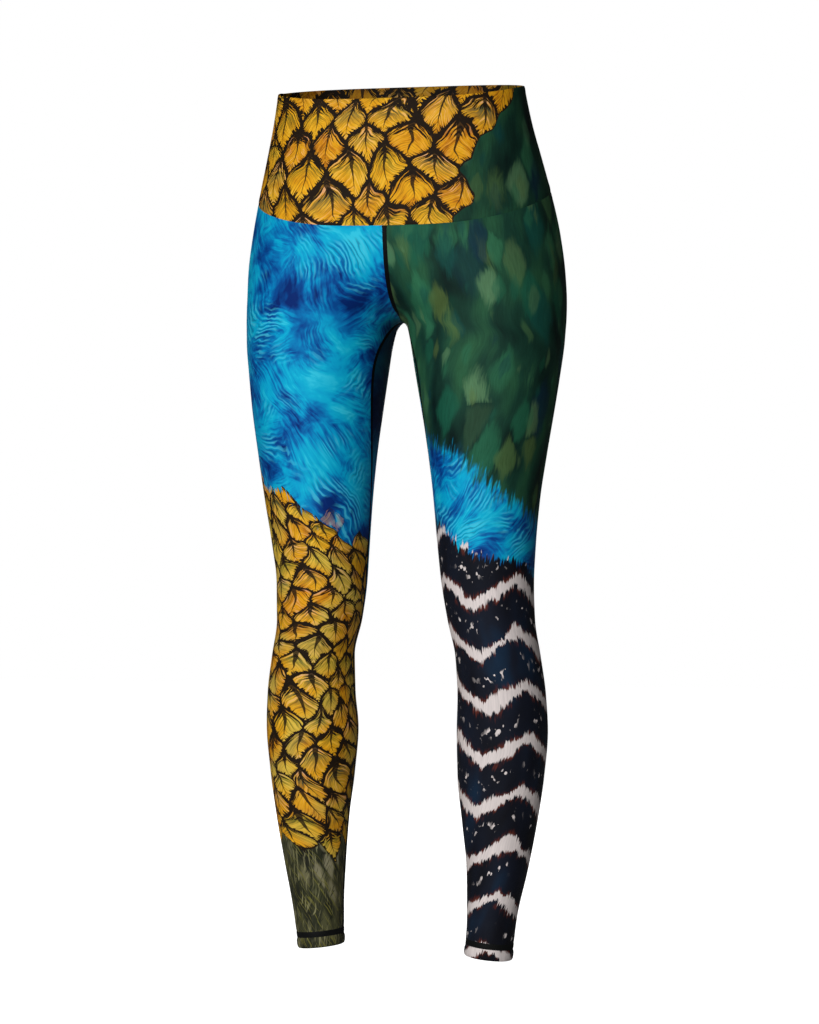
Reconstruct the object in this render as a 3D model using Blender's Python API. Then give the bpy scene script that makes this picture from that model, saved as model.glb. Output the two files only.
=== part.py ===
"""High-waisted, full-length leggings, filled out as when they are worn, with nobody inside.

Lengths are in metres. +Z is up, the front faces -Y, and the wearer's left side is at +X.
The origin is the middle of the waist opening, level with the top edge at the hips' sides.

Four pieces of stretch cloth are sewn together: the front and the back of the wide waistband, and
one panel for each leg, which wraps from the centre front round the outside to the centre back
and is closed on itself by the inseam. Each panel is a wall with an outer and an inner face.
"""

import math

import bmesh
import bpy
import numpy as np

SEAM_GAP = 0.0003  # clear space between two panels at a seam
LEG_WALL = 0.0012  # one layer of cloth
BAND_WALL = 0.0020  # the waistband is cloth folded double
HEM_WALL = 0.0020  # and so is the hem
HEM_HEIGHT = 0.0145

CROTCH_DROP = 0.255  # depth of the crotch point below the origin
CROTCH_DIP = 0.045  # the row of points that starts there dips this much round the thigh
THIGH_END_DROP = 0.375  # the rows of the leg are level from here down
HEM_DROP = 0.9425
HEM_TILT = 0.0027  # the hem is this much higher on the inside of the ankle than on average
HEM_FRONT_RISE = 0.0018  # and this much higher at the front
WAIST_EDGE_DROP = 0.002  # the top edge's mean level
WAIST_EDGE_TILT = 0.0215  # it is lower by this at the centre front, and higher at the centre back
WAIST_EDGE_CURVE = 0.0015  # and it rises a little again over the hips
BAND_SEAM_DROP = 0.121  # the mean level of the seam under the waistband
BAND_SEAM_TILT = 0.037  # it is lower by this at the centre front, and higher at the centre back
BAND_SEAM_CURVE = 0.003  # and it rises over the hips by as much as it dips at the centres
STRIDE = 0.040  # the left ankle stands this far in front of the right one
FORK_ROUND = 0.013  # rounding of the fold where the two legs part
SEAM_ROUND = 0.045  # rounding of the hollow that runs up from there along the centre seams
ROUND_FADE = (0.190, 0.256)  # drops between which the one becomes the other

TORSO_SQUARENESS = 2.25  # superellipse exponents: 2 is an ellipse
LEG_SQUARENESS = 2.04
SQUARENESS_FADE = (0.18, 0.42)  # drops between which the torso's exponent becomes the leg's

# One row for each level: distance from the middle plane to the outer edge of the body or leg, and
# to the leg's inner edge, for both sides. Front and back are the right leg's. Parting says how far
# the section has split in two, from 0 (one oval) to 1 (two ovals that touch or stand apart).
BODY_COLUMNS = (
    "drop",
    "right_outer",
    "left_outer",
    "right_inner",
    "left_inner",
    "front",
    "back",
    "parting",
)
BODY = (
    (-0.030, 0.1300, 0.1300, 0.0000, 0.0000, -0.0900, 0.0870, 0.000),
    (0.000, 0.1345, 0.1347, 0.0000, 0.0000, -0.0930, 0.0900, 0.000),
    (0.040, 0.1402, 0.1430, 0.0000, 0.0000, -0.0980, 0.0940, 0.000),
    (0.080, 0.1480, 0.1540, 0.0000, 0.0000, -0.1030, 0.1005, 0.000),
    (0.120, 0.1565, 0.1645, 0.0000, 0.0000, -0.1065, 0.1090, 0.030),
    (0.160, 0.1643, 0.1727, 0.0000, 0.0000, -0.1065, 0.1185, 0.160),
    (0.200, 0.1697, 0.1775, 0.0000, 0.0000, -0.1040, 0.1235, 0.420),
    (0.230, 0.1713, 0.1791, 0.0000, 0.0000, -0.1000, 0.1215, 0.715),
    (0.240, 0.1717, 0.1792, 0.0000, 0.0000, -0.0984, 0.1187, 0.855),
    (0.249, 0.1718, 0.1790, 0.0000, 0.0000, -0.0969, 0.1158, 0.970),
    (0.255, 0.1719, 0.1788, 0.0000, 0.0000, -0.0960, 0.1138, 1.000),
    (0.262, 0.1718, 0.1784, 0.0085, 0.0068, -0.0949, 0.1111, 1.000),
    (0.280, 0.1714, 0.1774, 0.0130, 0.0107, -0.0930, 0.1040, 1.000),
    (0.310, 0.1689, 0.1738, 0.0171, 0.0162, -0.0908, 0.0955, 1.000),
    (0.350, 0.1650, 0.1680, 0.0224, 0.0236, -0.0880, 0.0880, 1.000),
    (0.400, 0.1580, 0.1601, 0.0288, 0.0324, -0.0840, 0.0790, 1.000),
    (0.450, 0.1503, 0.1531, 0.0333, 0.0386, -0.0790, 0.0700, 1.000),
    (0.500, 0.1419, 0.1491, 0.0364, 0.0436, -0.0735, 0.0615, 1.000),
    (0.540, 0.1371, 0.1476, 0.0388, 0.0483, -0.0690, 0.0555, 1.000),
    (0.580, 0.1371, 0.1490, 0.0445, 0.0552, -0.0645, 0.0530, 1.000),
    (0.620, 0.1437, 0.1550, 0.0540, 0.0633, -0.0585, 0.0565, 1.000),
    (0.660, 0.1502, 0.1600, 0.0544, 0.0649, -0.0525, 0.0635, 1.000),
    (0.700, 0.1526, 0.1620, 0.0518, 0.0637, -0.0475, 0.0675, 1.000),
    (0.750, 0.1487, 0.1580, 0.0561, 0.0648, -0.0415, 0.0655, 1.000),
    (0.800, 0.1419, 0.1508, 0.0623, 0.0702, -0.0350, 0.0590, 1.000),
    (0.850, 0.1331, 0.1412, 0.0659, 0.0755, -0.0280, 0.0515, 1.000),
    (0.900, 0.1239, 0.1300, 0.0681, 0.0763, -0.0220, 0.0462, 1.000),
    (0.950, 0.1174, 0.1244, 0.0680, 0.0730, -0.0190, 0.0450, 1.000),
)

AROUND = 40  # faces round a leg panel, and from the centre front to the back on the waistband
SEAM_CROWDING = 0.6  # 0 spaces the faces evenly; above that they are narrower near the seams
BAND_ROWS = 5
RISE_ROWS = 9  # rows from the waistband's seam to the crotch
THIGH_ROWS = 6  # rows from the crotch to the level rows
LEG_ROWS = 16  # rows from there to the top of the hem
SLOPE_STEP = 0.0002  # distance over which the face's slope is measured

CLOTH_LOOKS = {
    "waistband_front": ((0.72, 0.42, 0.04), 0.55),
    "waistband_back": ((0.62, 0.36, 0.04), 0.55),
    "leg_right": ((0.02, 0.28, 0.52), 0.55),
    "leg_left": ((0.03, 0.16, 0.09), 0.55),
}


def smooth_curve(knots, values, at):
    """A curve through the knots that never overshoots between two of them (monotone cubic)."""
    knots = np.asarray(knots, float)
    values = np.asarray(values, float)
    step = np.diff(knots)
    slope = np.diff(values) / step
    before, after = slope[:-1], slope[1:]
    same_way = before * after > 0
    weight_before = 2 * step[1:] + step[:-1]
    weight_after = step[1:] + 2 * step[:-1]
    safe_before = np.where(same_way, before, 1.0)
    safe_after = np.where(same_way, after, 1.0)
    mean = (weight_before + weight_after) / (weight_before / safe_before + weight_after / safe_after)
    tangent = np.concatenate([[slope[0]], np.where(same_way, mean, 0.0), [slope[-1]]])
    at = np.clip(at, knots[0], knots[-1])
    i = np.clip(np.searchsorted(knots, at, side="right") - 1, 0, len(step) - 1)
    t = (at - knots[i]) / step[i]
    start = values[i] * (1 + 2 * t) * (1 - t) ** 2 + step[i] * tangent[i] * t * (1 - t) ** 2
    end = values[i + 1] * t**2 * (3 - 2 * t) + step[i] * tangent[i + 1] * t**2 * (t - 1)
    return start + end


def column(table, names, name):
    """One named column of a table, as an array."""
    return np.array([row[names.index(name)] for row in table])


def smooth_step(low, high, at):
    """0 below low, 1 above high, and a smooth ramp between them."""
    t = np.clip((at - low) / (high - low), 0, 1)
    return t * t * (3 - 2 * t)


def fold_round(drop):
    """Rounding of the fold between the two sides of the body."""
    return SEAM_ROUND + (FORK_ROUND - SEAM_ROUND) * smooth_step(*ROUND_FADE, drop)


def squareness(drop):
    """The superellipse exponent of the sections."""
    share = smooth_step(*SQUARENESS_FADE, drop)
    return TORSO_SQUARENESS + (LEG_SQUARENESS - TORSO_SQUARENESS) * share


def section_sizes(side, drop):
    """The oval of one side of the body at each drop: centre x and y, half width and half depth.

    x is unfolded: there the middle plane lies at fold_round(drop) and not at 0.
    """
    which = "left" if side > 0 else "right"
    levels = column(BODY, BODY_COLUMNS, "drop")
    split = levels >= CROTCH_DROP

    def along(name, rows=slice(None)):
        return smooth_curve(levels[rows], column(BODY, BODY_COLUMNS, name)[rows], drop)

    fold = fold_round(drop)
    outer = np.hypot(along(f"{which}_outer"), fold)
    fork = np.hypot(column(BODY, BODY_COLUMNS, f"{which}_inner")[split], FORK_ROUND)
    leg_half = (outer - smooth_curve(levels[split], fork, drop)) / 2
    torso_half = (outer - fold) / (1 + along("parting", levels <= CROTCH_DROP))
    half_width = np.where(drop >= CROTCH_DROP, leg_half, torso_half)
    front, back = along("front"), along("back")
    forward = STRIDE * np.clip((drop - CROTCH_DROP) / (HEM_DROP - CROTCH_DROP), 0, None) ** 1.2
    middle = (front + back) / 2 - (forward if side > 0 else 0)
    return outer - half_width, middle, half_width, (back - front) / 2


def seam_share(side, drop):
    """How far round its oval the face meets the middle plane: up to a quarter, and 0 on the legs."""
    centre, _, half_width, _ = section_sizes(side, drop)
    parted = np.clip((centre - fold_round(drop)) / half_width, 0, 1)
    return np.arccos(parted ** (squareness(drop) / 2)) / (2 * math.pi)


def panel_points(side, around, drop):
    """Points of the outer face of one side of the body, in rows down and columns around.

    around runs from 0 at the front seam, round the outside, to 1 at the back seam, and below the
    crotch both are the inseam. drop is the level of each point.
    """
    first, last = (seam_share(side, drop[:, (end,)]) for end in (0, -1))
    angle = 2 * math.pi * (first + around * (1 - first - last))
    centre, middle, half_width, half_depth = section_sizes(side, drop)
    power = 2 / squareness(drop)
    cos, sin = np.cos(angle), np.sin(angle)
    unfolded = centre - half_width * np.sign(cos) * np.abs(cos) ** power
    x = np.sqrt(np.clip(unfolded**2 - fold_round(drop) ** 2, 0, None))
    y = middle - half_depth * np.sign(sin) * np.abs(sin) ** power
    return np.stack([side * x, y, -drop], axis=-1)


def outward(side, points):
    """Unit normals at points of the outer face, pointing to the outside.

    They are the slope of the section's oval: |x / half width| to the power of its squareness
    plus the same of y, which is 1 on the face and grows to the outside.
    """

    def oval(x, y, z):
        centre, middle, half_width, half_depth = section_sizes(side, -z)
        power = squareness(-z)
        across = np.abs((np.hypot(x, fold_round(-z)) - centre) / half_width)
        return across**power + np.abs((y - middle) / half_depth) ** power

    steps = np.eye(3) * SLOPE_STEP
    slope = [oval(*np.moveaxis(points + h, -1, 0)) - oval(*np.moveaxis(points - h, -1, 0)) for h in steps]
    normal = np.stack(slope, axis=-1)
    return normal / np.linalg.norm(normal, axis=-1, keepdims=True)


def waist_edge_drop(around):
    """Drop of the waistband's top edge."""
    curve = WAIST_EDGE_CURVE * np.cos(2 * math.pi * around)
    return WAIST_EDGE_DROP + WAIST_EDGE_TILT * np.cos(math.pi * around) + curve


def band_seam_drop(around):
    """Drop of the seam that joins the waistband to the legs."""
    curve = BAND_SEAM_CURVE * np.cos(2 * math.pi * around)
    return BAND_SEAM_DROP + BAND_SEAM_TILT * np.cos(math.pi * around) + curve


def wall_object(name, outer, inner, closed_from=None):
    """One closed solid between two grids of points.

    The rows from closed_from on are rings: there the last column is the first one again, so
    the wall is a tube below that row and an open shell above it.
    """
    rows, columns = outer.shape[:2]
    bm = bmesh.new()

    def add_face(grid):
        made = []
        for j in range(rows):
            line = [bm.verts.new(point) for point in grid[j, :-1]]
            is_ring = closed_from is not None and j >= closed_from
            line.append(line[0] if is_ring else bm.verts.new(grid[j, -1]))
            made.append(line)
        return made

    outside, inside = add_face(outer), add_face(inner)
    for j in range(rows - 1):
        for i in range(columns - 1):
            a, b, c, d = outside[j][i], outside[j + 1][i], outside[j + 1][i + 1], outside[j][i + 1]
            bm.faces.new((a, b, c, d))
            a, b, c, d = inside[j][i], inside[j + 1][i], inside[j + 1][i + 1], inside[j][i + 1]
            bm.faces.new((d, c, b, a))
    for j in (0, rows - 1):
        for i in range(columns - 1):
            bm.faces.new((outside[j][i], outside[j][i + 1], inside[j][i + 1], inside[j][i]))
    open_rows = rows - 1 if closed_from is None else closed_from
    for i in (0, columns - 1):
        for j in range(open_rows):
            bm.faces.new((outside[j][i], outside[j + 1][i], inside[j + 1][i], inside[j][i]))
    bmesh.ops.recalc_face_normals(bm, faces=bm.faces)
    if bm.calc_volume(signed=True) < 0:
        bmesh.ops.reverse_faces(bm, faces=bm.faces)
    mesh = bpy.data.meshes.new(name)
    bm.to_mesh(mesh)
    bm.free()
    mesh.shade_smooth()
    mesh.set_sharp_from_angle(angle=math.radians(40))
    mesh.materials.append(cloth_material(name))
    made = bpy.data.objects.new(name, mesh)
    bpy.context.scene.collection.objects.link(made)
    return made


def cloth_material(name):
    """Plain cloth in the piece's main colour."""
    colour, roughness = CLOTH_LOOKS[name]
    material = bpy.data.materials.new(name)
    material.use_nodes = True
    shader = material.node_tree.nodes["Principled BSDF"]
    shader.inputs["Base Color"].default_value = (*colour, 1)
    shader.inputs["Roughness"].default_value = roughness
    shader.inputs["Metallic"].default_value = 0
    return material


def leg_levels(around):
    """Drops of a leg panel's rows, from the waistband's seam to the hem's edge.

    At the seams the rows crowd towards the crotch, where the panel turns under the body. The row
    that starts at the crotch, and its neighbours, dip between their ends, so they leave the seam
    steeply.
    """
    rise = np.linspace(0, 1, RISE_ROWS + 1)[:, None]
    thigh = np.linspace(0, 1, THIGH_ROWS + 1)[1:, None]
    dip = CROTCH_DIP * np.sin(math.pi * around).clip(0) ** 0.75
    top = band_seam_drop(around) + SEAM_GAP / 2
    upper = CROTCH_DROP - (1 - rise) ** 2 * (CROTCH_DROP - top) + rise**2 * dip
    crowding = 1 + 0.6 * np.cos(math.pi * around) ** 2
    lower = upper[-1] + thigh**crowding * (THIGH_END_DROP - upper[-1])
    full_turn = 2 * math.pi * around
    hem_edge = HEM_DROP - HEM_TILT * np.cos(full_turn) - HEM_FRONT_RISE * np.sin(full_turn)
    hem_top = hem_edge - HEM_HEIGHT
    leg = THIGH_END_DROP + np.linspace(0, 1, LEG_ROWS + 1)[1:, None] * (hem_top - THIGH_END_DROP)
    fold = hem_top + (HEM_WALL - LEG_WALL)
    return np.concatenate([upper, lower, leg, [fold], [hem_edge]])


def columns_around():
    """The shares around at which every piece has a column of points."""
    even = np.linspace(0, 1, AROUND + 1)
    return even - SEAM_CROWDING * np.sin(2 * math.pi * even) / (2 * math.pi)


def build_leg(name, side):
    """One leg panel, from the waistband's seam to the hem, closed by its inseam below the crotch."""
    around = columns_around()
    levels = leg_levels(around)
    outer = panel_points(side, around, levels)
    normal = outward(side, outer)
    outer[: RISE_ROWS + 1, (0, -1), 0] = side * SEAM_GAP / 2
    thickness = np.full((len(levels), 1, 1), LEG_WALL)
    thickness[-2:] = HEM_WALL
    return wall_object(name, outer, outer - normal * thickness, closed_from=RISE_ROWS)


def build_band(name, at_back):
    """The front or the back half of the waistband, between the two side seams."""
    around = columns_around()
    top = waist_edge_drop(around)
    rows = np.linspace(0, 1, BAND_ROWS + 1)[:, None]
    levels = top + rows * (band_seam_drop(around) - SEAM_GAP / 2 - top)
    half = AROUND // 2
    part = slice(None, half - 1, -1) if at_back else slice(0, half + 1)
    right, left = (panel_points(side, around, levels)[:, part] for side in (-1, 1))
    normals = outward(-1, right), outward(1, left)
    outer = np.concatenate([right[:, :0:-1], left], axis=1)
    normal = np.concatenate([normals[0][:, :0:-1], normals[1]], axis=1)
    outer[:, (0, -1), 1] += (1 if at_back else -1) * SEAM_GAP / 2
    return wall_object(name, outer, outer - normal * BAND_WALL)


def main():
    """Clear the scene and build the four pieces of cloth."""
    for old in list(bpy.data.objects):
        bpy.data.objects.remove(old)
    build_band("waistband_front", at_back=False)
    build_band("waistband_back", at_back=True)
    build_leg("leg_right", -1)
    build_leg("leg_left", 1)


main()
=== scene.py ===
"""High-waisted, full-length leggings in printed stretch knit, filled out as when they are worn.

This scene dresses the four sewn pieces of the frame: the front and the back of the waistband and
one panel for each leg. It adds the thread of the seams and hems, the printed cloth, a floor, soft
lights and the camera.

Lengths are in metres. +Z is up, the front faces -Y, and the wearer's left side is at +X. The origin
is the middle of the waist opening, level with the top edge at the hips' sides. A drop is a depth
below it. A share around goes from 0 at the front seam, round the outside of one side of the body,
to 1 at the back seam. On a leg both ends are its inner line.
"""

import logging
import math
from collections.abc import Callable, Sequence
from dataclasses import dataclass, replace
from enum import Enum
from typing import Union

import bpy
import numpy as np
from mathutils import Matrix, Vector


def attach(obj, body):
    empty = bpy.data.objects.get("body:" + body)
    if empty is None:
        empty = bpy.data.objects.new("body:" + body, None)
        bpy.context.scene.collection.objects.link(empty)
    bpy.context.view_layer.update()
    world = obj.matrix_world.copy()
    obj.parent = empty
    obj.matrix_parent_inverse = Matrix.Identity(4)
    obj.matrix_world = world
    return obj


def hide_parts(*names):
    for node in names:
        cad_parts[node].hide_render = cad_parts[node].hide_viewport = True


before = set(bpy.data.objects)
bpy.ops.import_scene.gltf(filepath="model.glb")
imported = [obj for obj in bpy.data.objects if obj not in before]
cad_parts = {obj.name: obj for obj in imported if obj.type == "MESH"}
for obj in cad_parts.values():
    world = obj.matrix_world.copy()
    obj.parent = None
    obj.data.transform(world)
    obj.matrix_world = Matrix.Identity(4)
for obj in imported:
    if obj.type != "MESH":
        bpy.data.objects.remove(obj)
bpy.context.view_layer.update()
MILLIMETRE = 0.001
FULL_TURN = 2 * math.pi

log = logging.getLogger("leggings")

Colour = tuple[float, float, float]
Value = Union["Wire", float, tuple[float, ...]]


class Side(Enum):
    """The wearer's two sides, by the sign of X."""

    RIGHT = -1
    LEFT = 1


class Half(Enum):
    """The two pieces of the waistband."""

    FRONT = "front"
    BACK = "back"


# ---------------------------------------------------------------------------------------------
# The form that the cloth lies on
# ---------------------------------------------------------------------------------------------

# Each row is one level of the body: its drop, the distance from the middle plane to the outer edge
# on the right and on the left, the same to the inner edge of each leg, Y of the right side's front
# and back, and how far the section has parted from one oval (0) into two (1).
COLUMNS = ("drop", "right_outer", "left_outer", "right_inner", "left_inner", "front", "back", "parting")
BODY = (
    (-0.030, 0.1300, 0.1300, 0, 0, -0.0900, 0.0870, 0),
    (0.000, 0.1345, 0.1347, 0, 0, -0.0930, 0.0900, 0),
    (0.040, 0.1402, 0.1430, 0, 0, -0.0980, 0.0940, 0),
    (0.080, 0.1480, 0.1540, 0, 0, -0.1030, 0.1005, 0),
    (0.120, 0.1565, 0.1645, 0, 0, -0.1065, 0.1090, 0.03),
    (0.160, 0.1643, 0.1727, 0, 0, -0.1065, 0.1185, 0.16),
    (0.200, 0.1697, 0.1775, 0, 0, -0.1040, 0.1235, 0.42),
    (0.230, 0.1713, 0.1791, 0, 0, -0.1000, 0.1215, 0.715),
    (0.240, 0.1717, 0.1792, 0, 0, -0.0984, 0.1187, 0.855),
    (0.249, 0.1718, 0.1790, 0, 0, -0.0969, 0.1158, 0.97),
    (0.255, 0.1719, 0.1788, 0, 0, -0.0960, 0.1138, 1),
    (0.262, 0.1718, 0.1784, 0.0085, 0.0068, -0.0949, 0.1111, 1),
    (0.280, 0.1714, 0.1774, 0.0130, 0.0107, -0.0930, 0.1040, 1),
    (0.310, 0.1689, 0.1738, 0.0171, 0.0162, -0.0908, 0.0955, 1),
    (0.350, 0.1650, 0.1680, 0.0224, 0.0236, -0.0880, 0.0880, 1),
    (0.400, 0.1580, 0.1601, 0.0288, 0.0324, -0.0840, 0.0790, 1),
    (0.450, 0.1503, 0.1531, 0.0333, 0.0386, -0.0790, 0.0700, 1),
    (0.500, 0.1419, 0.1491, 0.0364, 0.0436, -0.0735, 0.0615, 1),
    (0.540, 0.1371, 0.1476, 0.0388, 0.0483, -0.0690, 0.0555, 1),
    (0.580, 0.1371, 0.1490, 0.0445, 0.0552, -0.0645, 0.0530, 1),
    (0.620, 0.1437, 0.1550, 0.0540, 0.0633, -0.0585, 0.0565, 1),
    (0.660, 0.1502, 0.1600, 0.0544, 0.0649, -0.0525, 0.0635, 1),
    (0.700, 0.1526, 0.1620, 0.0518, 0.0637, -0.0475, 0.0675, 1),
    (0.750, 0.1487, 0.1580, 0.0561, 0.0648, -0.0415, 0.0655, 1),
    (0.800, 0.1419, 0.1508, 0.0623, 0.0702, -0.0350, 0.0590, 1),
    (0.850, 0.1331, 0.1412, 0.0659, 0.0755, -0.0280, 0.0515, 1),
    (0.900, 0.1239, 0.1300, 0.0681, 0.0763, -0.0220, 0.0462, 1),
    (0.950, 0.1174, 0.1244, 0.0680, 0.0730, -0.0190, 0.0450, 1),
)


def unit(vectors: np.ndarray) -> np.ndarray:
    """Vectors of length 1 in the same directions."""
    return vectors / np.linalg.norm(vectors, axis=-1, keepdims=True)


def bell(distance: np.ndarray, width: float) -> np.ndarray:
    """A bell curve: e to the power of minus the squared distance over the width squared."""
    return np.exp(-((distance / width) ** 2))


def smooth_step(low: float, high: float, at: np.ndarray) -> np.ndarray:
    """A smooth ramp: 3 t squared less 2 t cubed, where t goes from 0 at low to 1 at high."""
    t = np.clip((at - low) / (high - low), 0, 1)
    return t * t * (3 - 2 * t)


def smooth_curve(knots: np.ndarray, values: np.ndarray, at: np.ndarray) -> np.ndarray:
    """A curve through the knots that never overshoots between two of them.

    It is a cubic between each two knots. A knot's slope is the weighted harmonic mean of the
    slopes beside it, or 0 where they point different ways.

    Args:
        knots: Places of the knots, rising.
        values: The curve's value at each knot.
        at: The places that it is wanted at.

    Returns:
        The curve's value at each place.
    """
    step = np.diff(knots)
    slope = np.diff(values) / step
    same_way = slope[:-1] * slope[1:] > 0
    before, after = (np.where(same_way, one, 1.0) for one in (slope[:-1], slope[1:]))
    weight_before = 2 * step[1:] + step[:-1]
    weight_after = step[1:] + 2 * step[:-1]
    mean = (weight_before + weight_after) / (weight_before / before + weight_after / after)
    tangent = np.concatenate([slope[:1], np.where(same_way, mean, 0.0), slope[-1:]])
    at = np.clip(at, knots[0], knots[-1])
    i = np.clip(np.searchsorted(knots, at, side="right") - 1, 0, len(step) - 1)
    t = (at - knots[i]) / step[i]
    start = values[i] * (1 + 2 * t) * (1 - t) ** 2 + step[i] * tangent[i] * t * (1 - t) ** 2
    end = values[i + 1] * t**2 * (3 - 2 * t) + step[i] * tangent[i + 1] * t**2 * (t - 1)
    return start + end


@dataclass(frozen=True)
class BodyForm:
    """The filled-out form: at each level one superellipse for either side of the body.

    Above the crotch the two ovals are folded into each other along the middle plane, where a
    hyperbola rounds the fold. Below it each is a whole leg.
    """

    levels: tuple[tuple[float, ...], ...] = BODY
    crotch_drop: float = 0.255
    hem_drop: float = 0.9425
    stride: float = 0.040  # how far the left ankle stands in front of the right one
    seam_round: float = 0.045  # rounding of the fold at the waist
    fork_round: float = 0.013  # and at the crotch
    round_fade: tuple[float, float] = (0.190, 0.256)  # drops between which it changes
    torso_squareness: float = 2.25  # exponent of the superellipse, where 2 is an ellipse
    leg_squareness: float = 2.04
    squareness_fade: tuple[float, float] = (0.18, 0.42)
    slope_step: float = 0.0002

    def _column(self, name: str) -> np.ndarray:
        """One column of the table of levels."""
        return np.array(self.levels)[:, COLUMNS.index(name)]

    def fold(self, drop: np.ndarray) -> np.ndarray:
        """Rounding of the fold between the two sides, at each drop."""
        return self.seam_round + (self.fork_round - self.seam_round) * smooth_step(*self.round_fade, drop)

    def squareness(self, drop: np.ndarray) -> np.ndarray:
        """The superellipse's exponent at each drop."""
        share = smooth_step(*self.squareness_fade, drop)
        return self.torso_squareness + (self.leg_squareness - self.torso_squareness) * share

    def sizes(self, side: Side, drop: np.ndarray) -> tuple[np.ndarray, ...]:
        """The oval of one side of the body.

        X is unfolded: its square is the real one's plus the fold's, so the middle plane lies at
        the fold and not at 0.

        Args:
            side: Which side of the body.
            drop: The levels.

        Returns:
            Centre X and Y, half width and half depth at each level.
        """
        which = side.name.lower()
        drops = self._column("drop")
        split = drops >= self.crotch_drop
        whole = drops <= self.crotch_drop
        outer = np.hypot(smooth_curve(drops, self._column(f"{which}_outer"), drop), self.fold(drop))
        fork = np.hypot(self._column(f"{which}_inner")[split], self.fork_round)
        leg_half = (outer - smooth_curve(drops[split], fork, drop)) / 2
        parting = smooth_curve(drops[whole], self._column("parting")[whole], drop)
        half_width = np.where(drop >= self.crotch_drop, leg_half, (outer - self.fold(drop)) / (1 + parting))
        front, back = (smooth_curve(drops, self._column(name), drop) for name in ("front", "back"))
        below = np.clip((drop - self.crotch_drop) / (self.hem_drop - self.crotch_drop), 0, None)
        forward = self.stride * below**1.2 if side is Side.LEFT else 0.0
        return outer - half_width, (front + back) / 2 - forward, half_width, (back - front) / 2

    def girth(self, side: Side, drop: np.ndarray) -> np.ndarray:
        """Length round one oval, by Ramanujan's formula for an ellipse."""
        _, _, a, b = self.sizes(side, drop)
        return math.pi * (3 * (a + b) - np.sqrt((3 * a + b) * (a + 3 * b)))

    def seam_share(self, side: Side, drop: np.ndarray) -> np.ndarray:
        """How far round its oval the face meets the middle plane: up to a quarter, 0 on a leg.

        Args:
            side: Which side of the body.
            drop: The levels.

        Returns:
            The share of a turn, at each level.
        """
        centre, _, half_width, _ = self.sizes(side, drop)
        parted = np.clip((centre - self.fold(drop)) / half_width, 0, 1)
        return np.arccos(parted ** (self.squareness(drop) / 2)) / FULL_TURN

    def angles(
        self, side: Side, around: np.ndarray, drop: np.ndarray, ends: tuple[int, int] = (0, -1)
    ) -> np.ndarray:
        """Angles round the oval of shares around, in rows down and columns around.

        Args:
            side: Which side of the body.
            around: Shares around.
            drop: Drop of each point.
            ends: Columns whose drops say where a row's face meets the middle plane.

        Returns:
            The angles.
        """
        first, last = (self.seam_share(side, drop[:, (end,)]) for end in ends)
        return FULL_TURN * (first + around * (1 - first - last))

    def face(self, side: Side, angle: np.ndarray, drop: np.ndarray) -> tuple[np.ndarray, np.ndarray]:
        """The outer face at an angle round the oval, from its inner edge to the front.

        The superellipse's X and Y are the cosine and sine, each to the power 2 over the
        squareness, and the real X is the root of the unfolded X squared less the fold squared.
        The normal is the slope, by central differences, of the oval's own formula: the share of
        the half width plus that of the half depth, each to the power of the squareness.

        Args:
            side: Which side of the body.
            angle: Angles round the oval.
            drop: Drop of each point.

        Returns:
            The points and their unit normals, with a last axis of X, Y and Z.
        """
        centre, middle, half_width, half_depth = self.sizes(side, drop)
        power = 2 / self.squareness(drop)
        cos, sin = np.cos(angle), np.sin(angle)
        unfolded = centre - half_width * np.sign(cos) * np.abs(cos) ** power
        x = np.sqrt(np.clip(unfolded**2 - self.fold(drop) ** 2, 0, None))
        y = middle - half_depth * np.sign(sin) * np.abs(sin) ** power
        points = np.stack([side.value * x, y, -drop], axis=-1)

        def oval(place: np.ndarray) -> np.ndarray:
            """The oval's formula, which is 1 on the face.

            Args:
                place: Points, with a last axis of X, Y and Z.

            Returns:
                The formula's value at each point.
            """
            x, y, z = np.moveaxis(place, -1, 0)
            centre, middle, half_width, half_depth = self.sizes(side, -z)
            power = self.squareness(-z)
            across = np.abs((np.hypot(x, self.fold(-z)) - centre) / half_width)
            return across**power + np.abs((y - middle) / half_depth) ** power

        ways = np.eye(3) * self.slope_step
        slope = np.stack([oval(points + way) - oval(points - way) for way in ways], axis=-1)
        return points, unit(slope)


@dataclass(frozen=True)
class Crease:
    """One soft trough in the cloth."""

    around: float  # share around of its middle
    drop: float
    length: float
    width: float  # distance from its line to where it has faded
    depth: float
    rise: float  # how far its front end is above its back end, as a slope

    def dip(self, around: np.ndarray, drop: np.ndarray, girth: np.ndarray) -> np.ndarray:
        """The trough's depth: a bell across its line, times a raised cosine along it.

        Args:
            around: Share around of each point.
            drop: Drop of each point.
            girth: Length once round the panel at each point.

        Returns:
            How far each point lies under the smooth form.
        """
        forward = ((self.around - around + 0.5) % 1 - 0.5) * girth
        down = drop - self.drop
        turn = math.atan(self.rise)
        along = forward * math.cos(turn) - down * math.sin(turn)
        across = down * math.cos(turn) + forward * math.sin(turn)
        reach = np.clip(np.abs(along) / (self.length / 2), 0, 1)
        return self.depth * bell(2 * across, self.width) * (0.5 + 0.5 * np.cos(math.pi * reach))


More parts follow.
